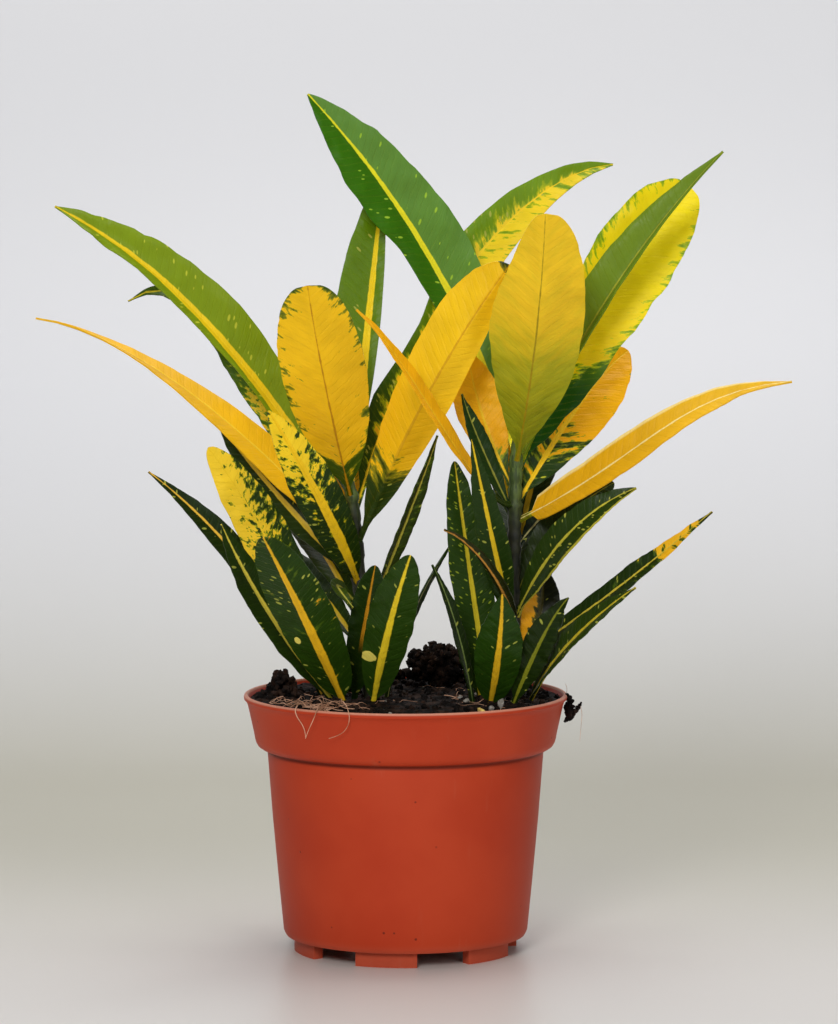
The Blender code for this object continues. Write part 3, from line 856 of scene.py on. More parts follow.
# %% Where each leaf of the left stem grows, and its size
# Kind, height on the stem or place in the soil, points along the midrib, tip, width, the
# way the upper face looks (degrees round from x, and degrees up), how far along it is
# widest, how slowly it widens, how sharp its tip is, and the fold of its halves in degrees.
Leaf = namedtuple("Leaf", "kind root through tip width face widest slow sharp fold")
LEFT_LEAVES = [
    ("dark", (-22, -13, 96), [(-37, -44, 130)], (-50, -70, 160), 22, (80, 15), 0.55, 0.35, 0.5, 12),
    ("dark", (-12, -12, 96), [(-6, -34, 123)], (2, -54, 152), 17, (85, 10), 0.55, 0.35, 0.55, 12),
    ("dark", (-26, -8, 96), [(-50, -27, 129)], (-66, -44, 162), 12, (-80, 20), 0.55, 0.6, 0.8, 15),
    ("dark", (-7, -4, 96), [(2, -8, 124)], (17, -14, 152), 6, (-20, 20), 0.55, 0.6, 1.0, 15),
    ("dark", (-30, 1, 96), [(-57, -8, 141)], (-94, -14, 179), 11, (-80, 30), 0.5, 0.6, 1.0, 20),
    ("dark", (-19, -7, 97), [(-15, -16, 122)], (-11, -20, 145), 12, (-90, 0), 0.6, 0.4, 0.5, 12),
    ("dark", 101, [(-34, 18, 112)], (-60, 46, 126), 11, (-80, 40), 0.55, 0.8, 0.8, 15),
    ("dark", 110, [(-32, 26, 130)], (-52, 62, 146), 13, (-80, 45), 0.58, 0.8, 0.8, 15),
    ("gold", (-24, -3, 96), [(-49, -11, 150)], (-72, -16, 188), 18, (-80, 10), 0.6, 0.5, 0.5, 12),
    ("dark", 120, [(-31, 24, 146)], (-48, 58, 164), 14, (-90, 50), 0.58, 0.8, 0.8, 15),
    ("dark", 124, [(-1, -8, 157)], (12, -12, 192), 8, (-40, 10), 0.5, 0.8, 1.0, 25),
    ("dark", 136, [(-29, -28, 166)], (-49, -42, 203), 17, (-75, 5), 0.55, 0.5, 0.7, 12),
    ("gold", 134, [(-30, 18, 160)], (-46, 52, 186), 12, (-90, 25), 0.58, 0.8, 0.7, 15),
    ("dark", 138, [(-50, 12, 171)], (-70, 22, 195), 13, (-85, 20), 0.55, 0.8, 0.8, 15),
    ("gold", 139, [(-29, -7, 167)], (-38, -5, 186), 9, (-90, 0), 0.55, 0.8, 0.7, 12),
    ("dark", 128, [(-25, -14, 137)], (-19, -24, 130), 6, (-60, 30), 0.5, 0.8, 0.9, 15),
    ("gold", 148, [(-26, 26, 182)], (-40, 62, 206), 17, (-85, 25), 0.58, 0.8, 0.7, 15),
    ("gold", 150, [(-62, 1, 193), (-103, 8, 222)], (-138, 22, 234), 16, (-90, 35), 0.25, 0.6, 1.3, 15),
    ("green", 158, [(-54, 22, 205), (-79, 26, 238)], (-104, 26, 240), 15, (-70, 30), 0.45, 0.8, 1.0, 20),
    ("gold", 152, [(9, -16, 209)], (38, -24, 255), 26, (80, 15), 0.72, 0.6, 0.45, 28),
    ("green", 161, [(-61, 2, 218), (-94, -6, 253)], (-128, -10, 276), 25, (-85, 35), 0.5, 0.6, 0.9, 30),
    ("gold", 165, [(-30, 31, 203)], (-34, 58, 237), 18, (-85, 15), 0.6, 0.8, 0.7, 15),
    ("green", 163, [(9, 36, 230), (44, 52, 274)], (79, 60, 291), 20, (-80, 30), 0.55, 0.4, 0.8, 25),
    ("green", 170, [(-15, 22, 222)], (-8, 32, 289), 26, (-90, 10), 0.5, 0.8, 0.8, 15),
    ("gold", 169, [(-29, -28, 212)], (-35, -40, 248), 31, (88, 20), 0.62, 0.6, 0.36, 16),
]

# %% The leaves of the right stem
RIGHT_LEAVES = [
    ("dark", (45, -10, 96), [(59, -38, 118)], (82, -60, 141), 12, (-95, 45), 0.45, 0.5, 1.0, 22),
    ("dark", (31, -16, 96), [(34, -34, 116)], (35, -44, 137), 17, (88, 5), 0.5, 0.35, 0.85, 12),
    ("dark", (25, -16, 96), [(19, -30, 122)], (10, -38, 147), 6, (-45, 10), 0.5, 0.6, 1.0, 20),
    ("dark", (31, -8, 96), [(24, -15, 140)], (18, -17, 183), 15, (-80, 0), 0.45, 0.5, 0.55, 12),
    ("dark", 108, [(75, -22, 135)], (111, -34, 166), 9, (-100, 45), 0.45, 0.6, 1.0, 22),
    ("dark", (28, -2, 96), [(26, -6, 110)], (24, -8, 124), 8, (-90, 0), 0.55, 0.6, 0.9, 15),
    ("dark", (39, -19, 96), [(50, -32, 120)], (59, -38, 135), 11, (-90, 20), 0.55, 0.6, 0.9, 15),
    ("dark", 104, [(46, 26, 120)], (54, 58, 134), 14, (-90, 40), 0.58, 0.8, 0.8, 15),
    ("dark", 106, [(49, 3, 121)], (51, 6, 141), 14, (-90, 0), 0.6, 0.6, 0.6, 12),
    ("dark", 112, [(47, 17, 130)], (52, 42, 142), 12, (-100, 35), 0.58, 0.8, 0.8, 15),
    ("dark", 118, [(40, 27, 150)], (38, 70, 172), 16, (-90, 40), 0.58, 0.8, 0.8, 15),
    ("dark", 124, [(59, -20, 156)], (84, -26, 174), 13, (-100, 35), 0.5, 0.7, 0.8, 20),
    ("dark", 117, [(37, -29, 134), (27, -43, 151)], (14, -50, 161), 5, (60, 40), 0.5, 0.8, 1.0, 15),
    ("dark", 122, [(32, -26, 154)], (24, -34, 192), 11, (-85, 0), 0.45, 0.6, 0.9, 15),
    ("dark", 133, [(57, -1, 158)], (77, -2, 174), 14, (-100, 30), 0.58, 0.6, 0.5, 15),
    ("dark", 142, [(49, 26, 178)], (59, 66, 203), 17, (-90, 25), 0.58, 0.8, 0.7, 15),
    ("dark", 150, [(57, 12, 166)], (76, 18, 178), 12, (-95, 50), 0.55, 0.8, 0.8, 15),
    ("gold", 155, [(34, 26, 190)], (30, 58, 213), 18, (-85, 20), 0.6, 0.8, 0.7, 15),
    ("gold", 160, [(78, -20, 184), (106, -26, 203)], (140, -30, 213), 16, (-100, 45), 0.3, 0.14, 1.0, 15),
    ("dark", 163, [(27, -4, 190)], (21, -8, 207), 8, (-60, 10), 0.5, 0.8, 1.0, 15),
    ("gold", 166, [(66, 22, 203)], (84, 36, 221), 26, (-82, 28), 0.62, 0.8, 0.6, 12),
    ("green", 170, [(55, 36, 212)], (79, 62, 252), 17, (-95, 20), 0.6, 0.8, 0.8, 15),
    ("gold", 172, [(29, 6, 197)], (23, 10, 222), 18, (-90, 10), 0.6, 1.0, 0.7, 12),
    ("gold", 166, [(24, -22, 180), (4, -42, 212)], (-17, -56, 240), 10, (-40, 35), 0.45, 0.7, 1.0, 20),
    ("gold", 176, [(44, 31, 215)], (46, 58, 252), 18, (-90, 15), 0.6, 0.8, 0.8, 15),
    ("gold", 178, [(71, 12, 236)], (106, 20, 283), 32, (-90, 5), 0.68, 0.6, 0.36, 12),
    ("green", 181, [(76, -5, 245)], (116, -8, 296), 18, (-100, 52), 0.45, 0.7, 1.0, 42),
    ("green", 184, [(22, 30, 232), (-4, 24, 277)], (-36, 10, 317), 31, (-85, 20), 0.52, 1.3, 0.75, 18),
    ("green", 182, [(47, -36, 228)], (50, -52, 274), 34, (90, 15), 0.55, 0.7, 0.36, 20),
]
LEAVES = {
    "left": [Leaf(*row) for row in LEFT_LEAVES],
    "right": [Leaf(*row) for row in RIGHT_LEAVES],
}
print("leaves on each stem:", {side: len(rows) for side, rows in LEAVES.items()})

# %% The flat blank: a folded strap of unit width
BLANK_ROWS, BLANK_COLUMNS = 56, 16
BLANK_LENGTH = 100.0
FOLD_ROUNDING = 0.045       # how round the bottom of the fold is
MARGIN_DROOP = 0.10         # how far the margins bend back down
# Rows lie closer together towards the tip, where the outline turns fastest
EVEN_SHARES = [row / BLANK_ROWS for row in range(BLANK_ROWS + 1)]
ROW_SHARES = [share + 0.2 * math.sin(math.pi * share) for share in EVEN_SHARES]
deselect_all()
bpy.ops.mesh.primitive_grid_add(x_subdivisions=BLANK_ROWS, y_subdivisions=BLANK_COLUMNS, size=1)
blank = bpy.context.object
blank.name = "leaf_blank"
bpy.ops.object.mode_set(mode="EDIT")
bpy.ops.mesh.select_all(action="SELECT")
bpy.ops.transform.translate(value=(0.5, 0, 0))
for column in range(1, BLANK_COLUMNS // 2 + 1):
    off_middle = column / BLANK_COLUMNS
    rise = math.sqrt(off_middle ** 2 + FOLD_ROUNDING ** 2) - FOLD_ROUNDING
    rise -= MARGIN_DROOP * (2 * off_middle) ** 5
    pick(blank, lambda vert: abs(abs(vert.co.y) - off_middle) < 0.001)
    bpy.ops.transform.translate(value=(0, 0, rise))
places = [vert.co.x for vert in bmesh.from_edit_mesh(blank.data).verts]
for row in reversed(range(1, BLANK_ROWS)):
    now = EVEN_SHARES[row]
    pick(blank, lambda vert: abs(places[vert.index] - now) < 0.001)
    bpy.ops.transform.translate(value=(ROW_SHARES[row] - now, 0, 0))
bpy.ops.mesh.select_all(action="SELECT")
bpy.ops.transform.resize(value=(BLANK_LENGTH * MM, MM, MM), center_override=(0, 0, 0))
bpy.ops.object.mode_set(mode="OBJECT")
settle(blank)
print("blank faces:", len(blank.data.polygons), "size", [round(v / MM, 1) for v in blank.dimensions])

# %% The outline of a leaf, and its midrib as a curve
STALK_SHARE = 0.07
STALK_WIDTH = 2.2
TIP_WIDTH = 0.5
STALK_DEPTH = 3.5           # how far down in the soil, or inside the stem, a stalk starts
STALK_INSET = 1.0


def leaf_width(share, leaf):
    """Width in mm at a share of the leaf's length."""
    blade = max((share - STALK_SHARE) / (1 - STALK_SHARE), 0)
    if blade < leaf.widest:
        part = math.sin(math.pi / 2 * blade / leaf.widest) ** leaf.slow if blade else 0
    else:
        beyond = (blade - leaf.widest) / (1 - leaf.widest)
        part = max(math.cos(math.pi / 2 * beyond), 0) ** leaf.sharp
    return max(leaf.width * part, STALK_WIDTH if share < 0.5 else TIP_WIDTH)


def leaf_start(side, leaf):
    """The stalk starts inside the stem, or a little way down in the soil."""
    if isinstance(leaf.root, tuple):
        return Vector(leaf.root) - Vector((0, 0, STALK_DEPTH))
    middle = stem_middle(side, leaf.root)
    outward = Vector(leaf.through[0]) - middle
    outward.z = 0
    return middle + outward.normalized() * (stem_radius(side, leaf.root) - STALK_INSET)


def arc_handles(points):
    """Handles of one Bezier arc that passes through three or four points."""
    if len(points) == 3:
        start, middle, end = points
        control = 2 * middle - (start + end) / 2
        return start + (control - start) * 2 / 3, end + (control - end) * 2 / 3
    start, first, second, end = points
    leave = (-5 * start + 18 * first - 9 * second + 2 * end) / 6
    arrive = (2 * start - 9 * first + 18 * second - 5 * end) / 6
    return leave, arrive


def midrib_curve(side, leaf, turn):
    """A Bezier curve along the midrib, turned so that its Z is the upper face's way."""
    world = [leaf_start(side, leaf), *(Vector(point) for point in leaf.through), Vector(leaf.tip)]
    points = [turn.inverted() @ point * MM for point in world]
    deselect_all()
    bpy.ops.curve.primitive_bezier_curve_add(location=(0, 0, 0))
    guide = bpy.context.object
    guide.data.twist_mode = "Z_UP"
    guide.data.use_stretch = True
    guide.data.use_deform_bounds = True
    leave, arrive = arc_handles(points)
    line = guide.data.splines[0]
    first, last = line.bezier_points
    for knot, place, handle in ((first, points[0], leave), (last, points[-1], arrive)):
        knot.handle_left_type = "FREE"
        knot.handle_right_type = "FREE"
        knot.co = place
        knot.handle_left = 2 * place - handle
        knot.handle_right = 2 * place - handle
    first.handle_right = leave
    last.handle_left = arrive
    guide.rotation_mode = "QUATERNION"
    guide.rotation_quaternion = turn
    return guide, line.calc_length()

# %% The waves in a blade, and its thickness
RIB_THICKNESS = 1.3
BLADE_THICKNESS = 0.5


def wave_pattern(name, grain):
    pattern = bpy.data.textures.new(name, "CLOUDS")
    pattern.noise_scale = grain * MM
    return pattern


# Pattern, the way it pushes, the points it acts on, and its mm where a look's wave is 1
WAVES = [
    (wave_pattern("margin_waves", 13), "Z", "margin", 1.3),
    (wave_pattern("blade_puckers", 6), "Z", "blade", 1.1),
    (wave_pattern("margin_nicks", 7), "Y", "margin", 1.1),
]
print("waves:", ", ".join(pattern.name for pattern, _, _, _ in WAVES))

# %% Shape the blank's rows, and mark its points
def between(stops, share):
    """The value at a share of the length, on straight lines between the stops."""
    for (low, first), (high, second) in zip(stops, stops[1:]):
        if share <= high:
            return first + (second - first) * (share - low) / (high - low)
    return stops[-1][1]


def shape_rows(thing, leaf, look):
    """Resize the blank's rows to the leaf's outline, as you would one loop at a time."""
    edit(thing)
    for share in ROW_SHARES:
        width = leaf_width(share, leaf)
        lift = width * math.tan(math.radians(leaf.fold))
        x = share * BLANK_LENGTH * MM
        middle = (x, 0, 0)
        pick(thing, lambda vert: abs(vert.co.x - x) < 0.1 * MM)
        bpy.ops.transform.resize(value=(1, width, lift), center_override=middle)
        shrink = between(look.uneven, share)
        if shrink:
            way = -1 if shrink > 0 else 1
            kept = 1 - abs(shrink)
            pick(thing, lambda vert: abs(vert.co.x - x) < 0.1 * MM and vert.co.y * way > 0.01 * MM)
            bpy.ops.transform.resize(value=(1, kept, kept), center_override=middle)
        if look.twist:
            turn = math.radians(look.twist * share)
            bpy.ops.transform.rotate(value=turn, orient_axis="X", center_override=middle)
    bpy.ops.object.mode_set(mode="OBJECT")


RIB_REACH = 0.8             # mm from the middle of the midrib to where it has thinned out
CALM_FOOT, CALM_TIP = 0.25, 0.08        # shares of the length over which the waves fade out
FLAT_MIDDLE = 3             # mm beside the midrib over which the puckers fade out


def add_weights(thing, leaf):
    """How much of the full thickness and of the waves each point of the blade gets."""
    rib = thing.vertex_groups.new(name="rib")
    margin = thing.vertex_groups.new(name="margin")
    blade = thing.vertex_groups.new(name="blade")
    for vert in thing.data.vertices:
        share = vert.co.x / (BLANK_LENGTH * MM)
        across = abs(vert.co.y) / MM
        half = leaf_width(share, leaf) / 2
        stalk = max(1 - share / (1.6 * STALK_SHARE), 0)
        ridge = math.exp(-((across / RIB_REACH) ** 2)) * (1 - 0.75 * share)
        rib.add([vert.index], min(max(stalk, ridge), 1), "REPLACE")
        calm = min(share / CALM_FOOT, 1) * min((1 - share) / CALM_TIP, 1)
        margin.add([vert.index], max(calm, 0) * (across / half) ** 2, "REPLACE")
        blade.add([vert.index], max(calm, 0) * min(across / FLAT_MIDDLE, 1), "REPLACE")


def keep_flat_map(thing, length):
    """A second UV map that holds the flat blade's own millimetres."""
    flat = thing.data.uv_layers.new(name="flat")
    for corner in thing.data.loops:
        place = thing.data.vertices[corner.vertex_index].co
        flat.data[corner.index].uv = (place.x / MM * length / BLANK_LENGTH, place.y / MM)

# %% Build one leaf
def build_leaf(name, side, leaf, look):
    """Shape, wave, thicken and bend one copy of the blank."""
    azimuth, lift = (math.radians(angle) for angle in leaf.face)
    level = math.cos(lift)
    upward = Vector((math.cos(azimuth) * level, math.sin(azimuth) * level, math.sin(lift)))
    turn = upward.to_track_quat("Z", "Y")
    guide, length = midrib_curve(side, leaf, turn)
    thing = copy_of(blank, name)
    shape_rows(thing, leaf, look)
    add_weights(thing, leaf)
    keep_flat_map(thing, length / MM)
    thing.rotation_mode = "QUATERNION"
    thing.location = Vector(leaf.tip) * MM
    for pattern, way, points, height in WAVES:
        push = thing.modifiers.new(pattern.name, "DISPLACE")
        push.texture = pattern
        push.texture_coords = "GLOBAL"
        push.direction = way
        push.vertex_group = points
        push.strength = height * look.wave * MM
    apply_modifiers(thing)
    thing.location = (0, 0, 0)
    thing.rotation_quaternion = turn
    shell = thing.modifiers.new("Thickness", "SOLIDIFY")
    shell.thickness = RIB_THICKNESS * MM
    shell.offset = -1.0
    shell.vertex_group = "rib"
    shell.thickness_vertex_group = BLADE_THICKNESS / RIB_THICKNESS
    shell.material_offset = 1
    bend = thing.modifiers.new("Follow the midrib", "CURVE")
    bend.object = guide
    bend.deform_axis = "POS_X"
    apply_modifiers(thing)
    bpy.data.objects.remove(guide)
    settle(thing, angle=50)
    return thing, length / MM

# %% [markdown]
# ## The painted pattern of a leaf
# Every croton leaf has the same few elements in its own amounts: a green blade, gold that
# spreads in flecks along the side veins, a coloured midrib, and small pale spots. So there
# is one finish with a table of looks. Gold is wherever a ramp along the leaf, less some at
# the margin, plus stretched noise, passes one half. A painted picture would also do, but a
# sum of masks stays sharp at any size, and one table changes all the leaves. The leaf's own
# two UV maps carry it: one runs from 0 to 1 along and across, and the other holds the flat
# blade's millimetres.

# %% The elements of a look
# Colours are for a screen, 0 to 255: blade and young are greens, other is the second
# half's green and crown the tip's, warm is the tip's gold, and rib and spot speak for
# themselves. rib_from is where along the leaf the midrib gets its colour, and edge how
# much of one half is a line of it. A ramp is (share of the length, amount of gold), less
# margin at the edges and leaning to one half. Mottle is the strength of the flecks, grain
# their scale and stretch, and soft the width of their edges. Spots is the share of cells
# with a spot, and dots the cells in a mm. A patch is a pale blotch: share of the length, mm
# off the midrib, and its two half sizes. Wave scales the waves, and twist is in degrees at
# the tip. Uneven is (share of the length, how much narrower one half is), above 0 for the
# half at y < 0 and below 0 for the other.
Look = namedtuple("Look", (
    "blade other crown young gold warm rib rib_width rib_from edge ramp margin lean mottle grain soft "
    "spot spots dots patches wave twist uneven"))
DARK = Look(
    blade=(34, 54, 8), other=None, crown=None, young=(84, 108, 22), gold=(226, 196, 64),
    warm=(226, 196, 64), rib=(228, 192, 46), rib_width=2.2, rib_from=0.0, edge=0.0,
    ramp=((0, 0), (1, 0)), margin=0.0, lean=0.0, mottle=0.5, grain=(0.26, 0.42), soft=0.07,
    spot=(176, 180, 74), spots=0.3, dots=0.5, patches=(), wave=1.0, twist=0, uneven=((0, 0), (1, 0)))
GOLD = DARK._replace(
    blade=(52, 74, 10), young=(150, 160, 24), gold=(248, 190, 20), warm=(252, 206, 26),
    rib=(252, 212, 44), rib_width=1.2, ramp=((0, 0), (0.2, 0.3), (0.4, 0.95), (1, 1)), margin=0.2,
    mottle=1.0)
GREEN = DARK._replace(
    blade=(84, 124, 14), young=(132, 156, 28), gold=(240, 212, 40), warm=(240, 212, 40),
    rib=(242, 218, 44), spots=0.2)
PLAIN_LOOKS = {"dark": DARK, "gold": GOLD, "green": GREEN}

# %% The looks of single leaves of the left stem, by number
LEFT_LOOKS = {
    1: DARK._replace(
        blade=(36, 62, 8), rib=(244, 190, 34), rib_width=3.6, spots=0.5,
        patches=((0.40, -6.5, 1.8, 1.2),), gold=(236, 176, 30), warm=(240, 160, 30),
        ramp=((0, 0), (0.9, 0.1), (1, 0.4)), mottle=1.6),
    2: DARK._replace(
        blade=(40, 66, 12), rib=(244, 212, 44), rib_width=2.8, patches=((0.31, -4.8, 2.3, 3.0),)),
    3: DARK._replace(rib=(232, 212, 76), rib_width=2.1, spots=0.5),
    4: DARK._replace(rib=(200, 190, 110), rib_width=1.0),
    5: DARK._replace(blade=(26, 44, 8), rib=(244, 194, 66), rib_width=1.7, spots=0.7),
    6: DARK._replace(blade=(30, 52, 8), rib=(212, 146, 30), rib_width=2.0, rib_from=0.45),
    9: GOLD._replace(
        blade=(34, 56, 8), gold=(240, 184, 34), warm=(252, 212, 46),
        ramp=((0, 0), (0.4, 0.1), (0.56, 0.36), (0.7, 0.6), (0.86, 0.8), (1, 0.95)), margin=0.1,
        lean=0.6, mottle=1.9, grain=(0.34, 0.9)),
    11: DARK._replace(
        blade=(46, 58, 12), gold=(164, 158, 36), warm=(180, 166, 44), ramp=((0, 0.2), (1, 0.32)),
        mottle=0.8, grain=(0.5, 0.8), rib=(196, 184, 70), rib_width=1.6),
    12: GOLD._replace(
        blade=(32, 52, 8), gold=(246, 188, 26), warm=(255, 214, 40), rib=(252, 204, 30), rib_width=4.2,
        ramp=((0, 0), (0.5, 0.12), (0.66, 0.5), (0.8, 0.74), (1, 0.9)), mottle=1.9, grain=(0.34, 0.9)),
    14: DARK._replace(rib=(226, 196, 60), rib_width=2.4),
    15: GOLD._replace(
        gold=(242, 172, 18), warm=(246, 186, 24), ramp=((0, 0.2), (0.3, 0.8), (1, 1)), mottle=0.8),
    16: DARK._replace(blade=(60, 80, 18), rib=(196, 190, 76), rib_width=1.6),
    18: GOLD._replace(
        blade=(90, 70, 12), gold=(246, 190, 20), warm=(242, 184, 24), rib=(250, 206, 50), rib_width=0.8,
        ramp=((0, 0.5), (0.12, 1), (1, 1)), margin=0.0, mottle=0.6, spots=0.0, twist=-60),
    19: GREEN._replace(
        blade=(72, 100, 18), gold=(236, 192, 34), warm=(124, 142, 50),
        ramp=((0, 0.8), (0.45, 0.62), (0.65, 0.25), (1, 0)), margin=0.3, mottle=1.6, grain=(0.42, 0.9),
        wave=1.8),
    20: GOLD._replace(
        blade=(44, 62, 10), young=(150, 140, 20), gold=(252, 194, 18), warm=(252, 204, 28),
        rib=(226, 170, 22), rib_from=0.3, rib_width=1.0,
        ramp=((0, -0.3), (0.14, 0), (0.27, 0.5), (0.38, 1), (0.94, 1), (1, 0.2)), margin=0.05,
        mottle=0.9, uneven=((0, -0.1), (0.5, -0.2), (0.8, -0.42), (1, -0.4))),
    21: GREEN._replace(
        blade=(128, 152, 20), young=(154, 168, 28), rib=(248, 212, 30), rib_width=4.2,
        spot=(200, 204, 60), spots=0.4, wave=2.2,
        uneven=((0, -0.5), (0.4, -0.7), (0.7, -0.6), (0.9, -0.3), (1, -0.3))),
    23: GOLD._replace(
        blade=(50, 78, 10), crown=(112, 148, 14), young=(176, 186, 24), gold=(250, 202, 30),
        warm=(242, 210, 36), rib=(250, 214, 40), rib_width=1.6,
        ramp=((0, 0), (0.12, 0.4), (0.3, 0.62), (0.85, 0.5), (1, 0.25)), margin=0.3, lean=-0.85,
        grain=(0.4, 0.4), uneven=((0, 0), (0.25, 0), (0.36, -0.5), (0.45, -0.6), (0.62, 0), (1, 0))),
    24: GREEN._replace(
        blade=(94, 128, 4), rib=(246, 214, 24), rib_width=3.4, spots=0.3,
        uneven=((0, 0.65), (1, 0.65))),
    25: GOLD._replace(
        blade=(62, 84, 8), young=(150, 146, 22), gold=(248, 192, 20), warm=(248, 196, 22),
        rib=(196, 136, 16), rib_width=0.7, ramp=((0, 0), (0.1, 0.2), (0.26, 0.9), (0.8, 1), (1, 0.75)),
        margin=0.42, mottle=1.1, grain=(0.34, 0.5), spots=0.0, wave=1.2),
}

# %% The looks of single leaves of the right stem
RIGHT_LOOKS = {
    1: DARK._replace(blade=(42, 62, 10), rib=(212, 190, 46), rib_width=1.9, spots=0.4),
    2: DARK._replace(blade=(34, 62, 8), rib=(234, 184, 34), rib_width=2.5, spots=0.2),
    3: DARK._replace(blade=(30, 46, 14), rib=(124, 142, 76), rib_width=0.8),
    4: DARK._replace(
        blade=(38, 62, 10), rib=(210, 188, 40), rib_width=2.0, spot=(150, 166, 44), spots=0.95,
        dots=0.65),
    5: DARK._replace(
        blade=(30, 48, 8), gold=(244, 188, 34), warm=(244, 184, 30), rib=(220, 196, 64), rib_width=1.0,
        ramp=((0, 0), (0.68, 0.1), (0.77, 0.75), (0.92, 0.7), (0.96, 0), (1, 0)), mottle=1.4,
        spots=0.5),
    7: DARK._replace(blade=(28, 44, 8), rib=(134, 136, 34), rib_width=1.6, wave=1.8),
    9: DARK._replace(
        blade=(26, 30, 10), gold=(248, 172, 14), warm=(248, 172, 14), young=(90, 88, 20),
        ramp=((0, -0.6), (0.32, -0.4), (0.44, 0.3), (0.7, 0.3), (0.82, -0.6), (1, -1)), lean=1.8,
        mottle=0.7, rib=(70, 66, 26)),
    12: DARK._replace(
        blade=(38, 58, 10), rib=(202, 190, 60), rib_width=1.2, edge=-0.14, spot=(180, 180, 70),
        spots=0.7),
    13: DARK._replace(blade=(38, 42, 12), rib=(222, 158, 70), rib_width=0.9),
    14: DARK._replace(blade=(32, 54, 8), rib=(234, 196, 36), rib_width=2.0, spots=0.6),
    15: DARK._replace(blade=(36, 50, 12), rib=(124, 122, 38), rib_width=1.2),
    17: DARK._replace(blade=(20, 34, 14), rib=(190, 180, 120), rib_width=0.8),
    # Painted highlight: the pale rib colour, drawn as an edge line along one margin, stands for light
    # catching it; the same colour is the thin midrib
    19: GOLD._replace(
        blade=(110, 106, 16), gold=(232, 172, 20), warm=(238, 184, 36), rib=(255, 232, 150),
        rib_width=0.7, edge=0.24, ramp=((0, 0.2), (0.06, 0.5), (0.12, 1), (1, 1)), margin=0.0,
        mottle=0.7, spots=0.0),
    20: DARK._replace(blade=(32, 56, 18), rib=(150, 150, 60), rib_width=0.8),
    21: GOLD._replace(
        blade=(36, 60, 8), gold=(250, 178, 4), warm=(254, 186, 6), rib=(255, 204, 30), rib_width=2.2,
        ramp=((0, 0.1), (0.3, 0.35), (0.46, 0.7), (0.6, 1), (1, 1)), margin=0.1, mottle=1.6, spots=0.5,
        spot=(200, 200, 40)),
    23: GOLD._replace(
        gold=(244, 174, 12), warm=(250, 188, 22), rib=(250, 202, 40), mottle=0.8),
    24: GOLD._replace(
        blade=(40, 60, 10), gold=(246, 180, 16), warm=(250, 180, 14), rib=(254, 202, 40), rib_width=1.0,
        rib_from=0.25, ramp=((0, -0.2), (0.13, 0), (0.2, 1), (1, 1)), margin=0.0, mottle=0.6,
        spots=0.0),
    26: GOLD._replace(
        blade=(30, 80, 8), crown=(120, 160, 10), young=(196, 206, 12), gold=(252, 212, 10),
        warm=(255, 230, 12), rib=(255, 236, 44), rib_width=1.8,
        ramp=((0, 0), (0.28, 0.15), (0.4, 0.75), (0.5, 1), (1, 1)), margin=0.55, lean=-0.1, mottle=0.9,
        grain=(0.5, 0.45), spots=0.0, wave=2.2,
        uneven=((0, -0.25), (0.5, -0.2), (0.8, 0.05), (1, 0.05))),
    27: GREEN._replace(
        blade=(122, 144, 26), crown=(112, 140, 32), rib=(176, 180, 56), rib_width=0.8, spots=0.05,
        uneven=((0, 0.6), (1, 0.6))),
    # Painted sheen: blade is a pale bluish green that stands in for a reflection on one half; other is the
    # second half's plain green
    28: GREEN._replace(
        blade=(100, 146, 58), other=(58, 114, 10), rib=(246, 238, 44), rib_width=2.8,
        spot=(170, 210, 60), spots=0.4, wave=2.2,
        uneven=((0, -0.5), (0.58, -0.44), (0.7, -0.14), (0.8, 0), (1, 0))),
    29: GOLD._replace(
        blade=(124, 138, 24), young=(190, 178, 28), gold=(236, 192, 28), warm=(248, 202, 36),
        rib=(166, 142, 22), rib_width=0.7,
        ramp=((0, 0), (0.2, 0.15), (0.42, 0.42), (0.62, 0.95), (1, 1)), margin=0.1, mottle=0.4,
        soft=0.6, spots=0.0, wave=1.7, uneven=((0, 0.1), (0.3, 0.1), (0.6, 0), (0.88, 0.28), (1, 0.4))),
}
LOOKS = {"left": LEFT_LOOKS, "right": RIGHT_LOOKS}
print("leaves with a look of their own:", {side: len(looks) for side, looks in LOOKS.items()})

# %% Where a point lies on the blade, and the masks that need only that
VEIN_SLOPE = 0.7            # how far a side vein runs forward for each step outward
VEIN_GAP = 3.1              # mm between side veins
BladePlace = namedtuple("BladePlace", "along side off x y across slanted")


def blade_place(paint, length):
    """Shares of the length and the width, mm on the flat blade, and mm along a side vein."""
    side = paint.part(paint.node("ShaderNodeUVMap", {"uv_map": "UVMap"}), 1)
    flat = paint.node("ShaderNodeUVMap", {"uv_map": "flat"})
    x, y = paint.part(flat, 0), paint.part(flat, 1)
    across = abs(y)
    return BladePlace(x / length, side, abs(side - 0.5) * 2, x, y, across, x - across * VEIN_SLOPE)


def spot_mask(paint, at, look, seed):
    """Pale spots of many sizes, in some cells of a Voronoi texture."""
    place = paint.join(at.slanted + seed * 13, at.y * 0.6, seed)
    near = paint.cells(place, look.dots)
    chances = paint.cells(place, look.dots, 1)
    luck, size = paint.part(chances, 0), paint.part(chances, 1)
    spot = 1 - (near / (size * 0.22 + 0.1)).step(0.75, 1.1)
    return spot * luck.step(1 - look.spots, 1.002 - look.spots)


def edge_mask(at, edge):
    """A line along one margin."""
    way = math.copysign(2, edge)
    return ((at.side - 0.5) * way).step(1 - abs(edge), 1 - abs(edge) * 0.4) * 0.8

# %% The masks whose outlines are broken up by the flecks
def vein_mask(at, flecks, fine):
    waves = ((at.slanted + flecks * 3 + fine * 0.8) * (2 * math.pi / VEIN_GAP)).sine()
    return waves.step(0.72, 1.0) * (1 - at.across.step(5, 16) * 0.5)


def patch_mask(at, patch, length, flecks):
    place, offset, long_half, wide_half = patch
    far = ((at.x - place * length) / long_half) ** 2 + ((at.y - offset) / wide_half) ** 2
    return 1 - (far + (flecks - 0.5) * 1.2).step(0.8, 1.1)


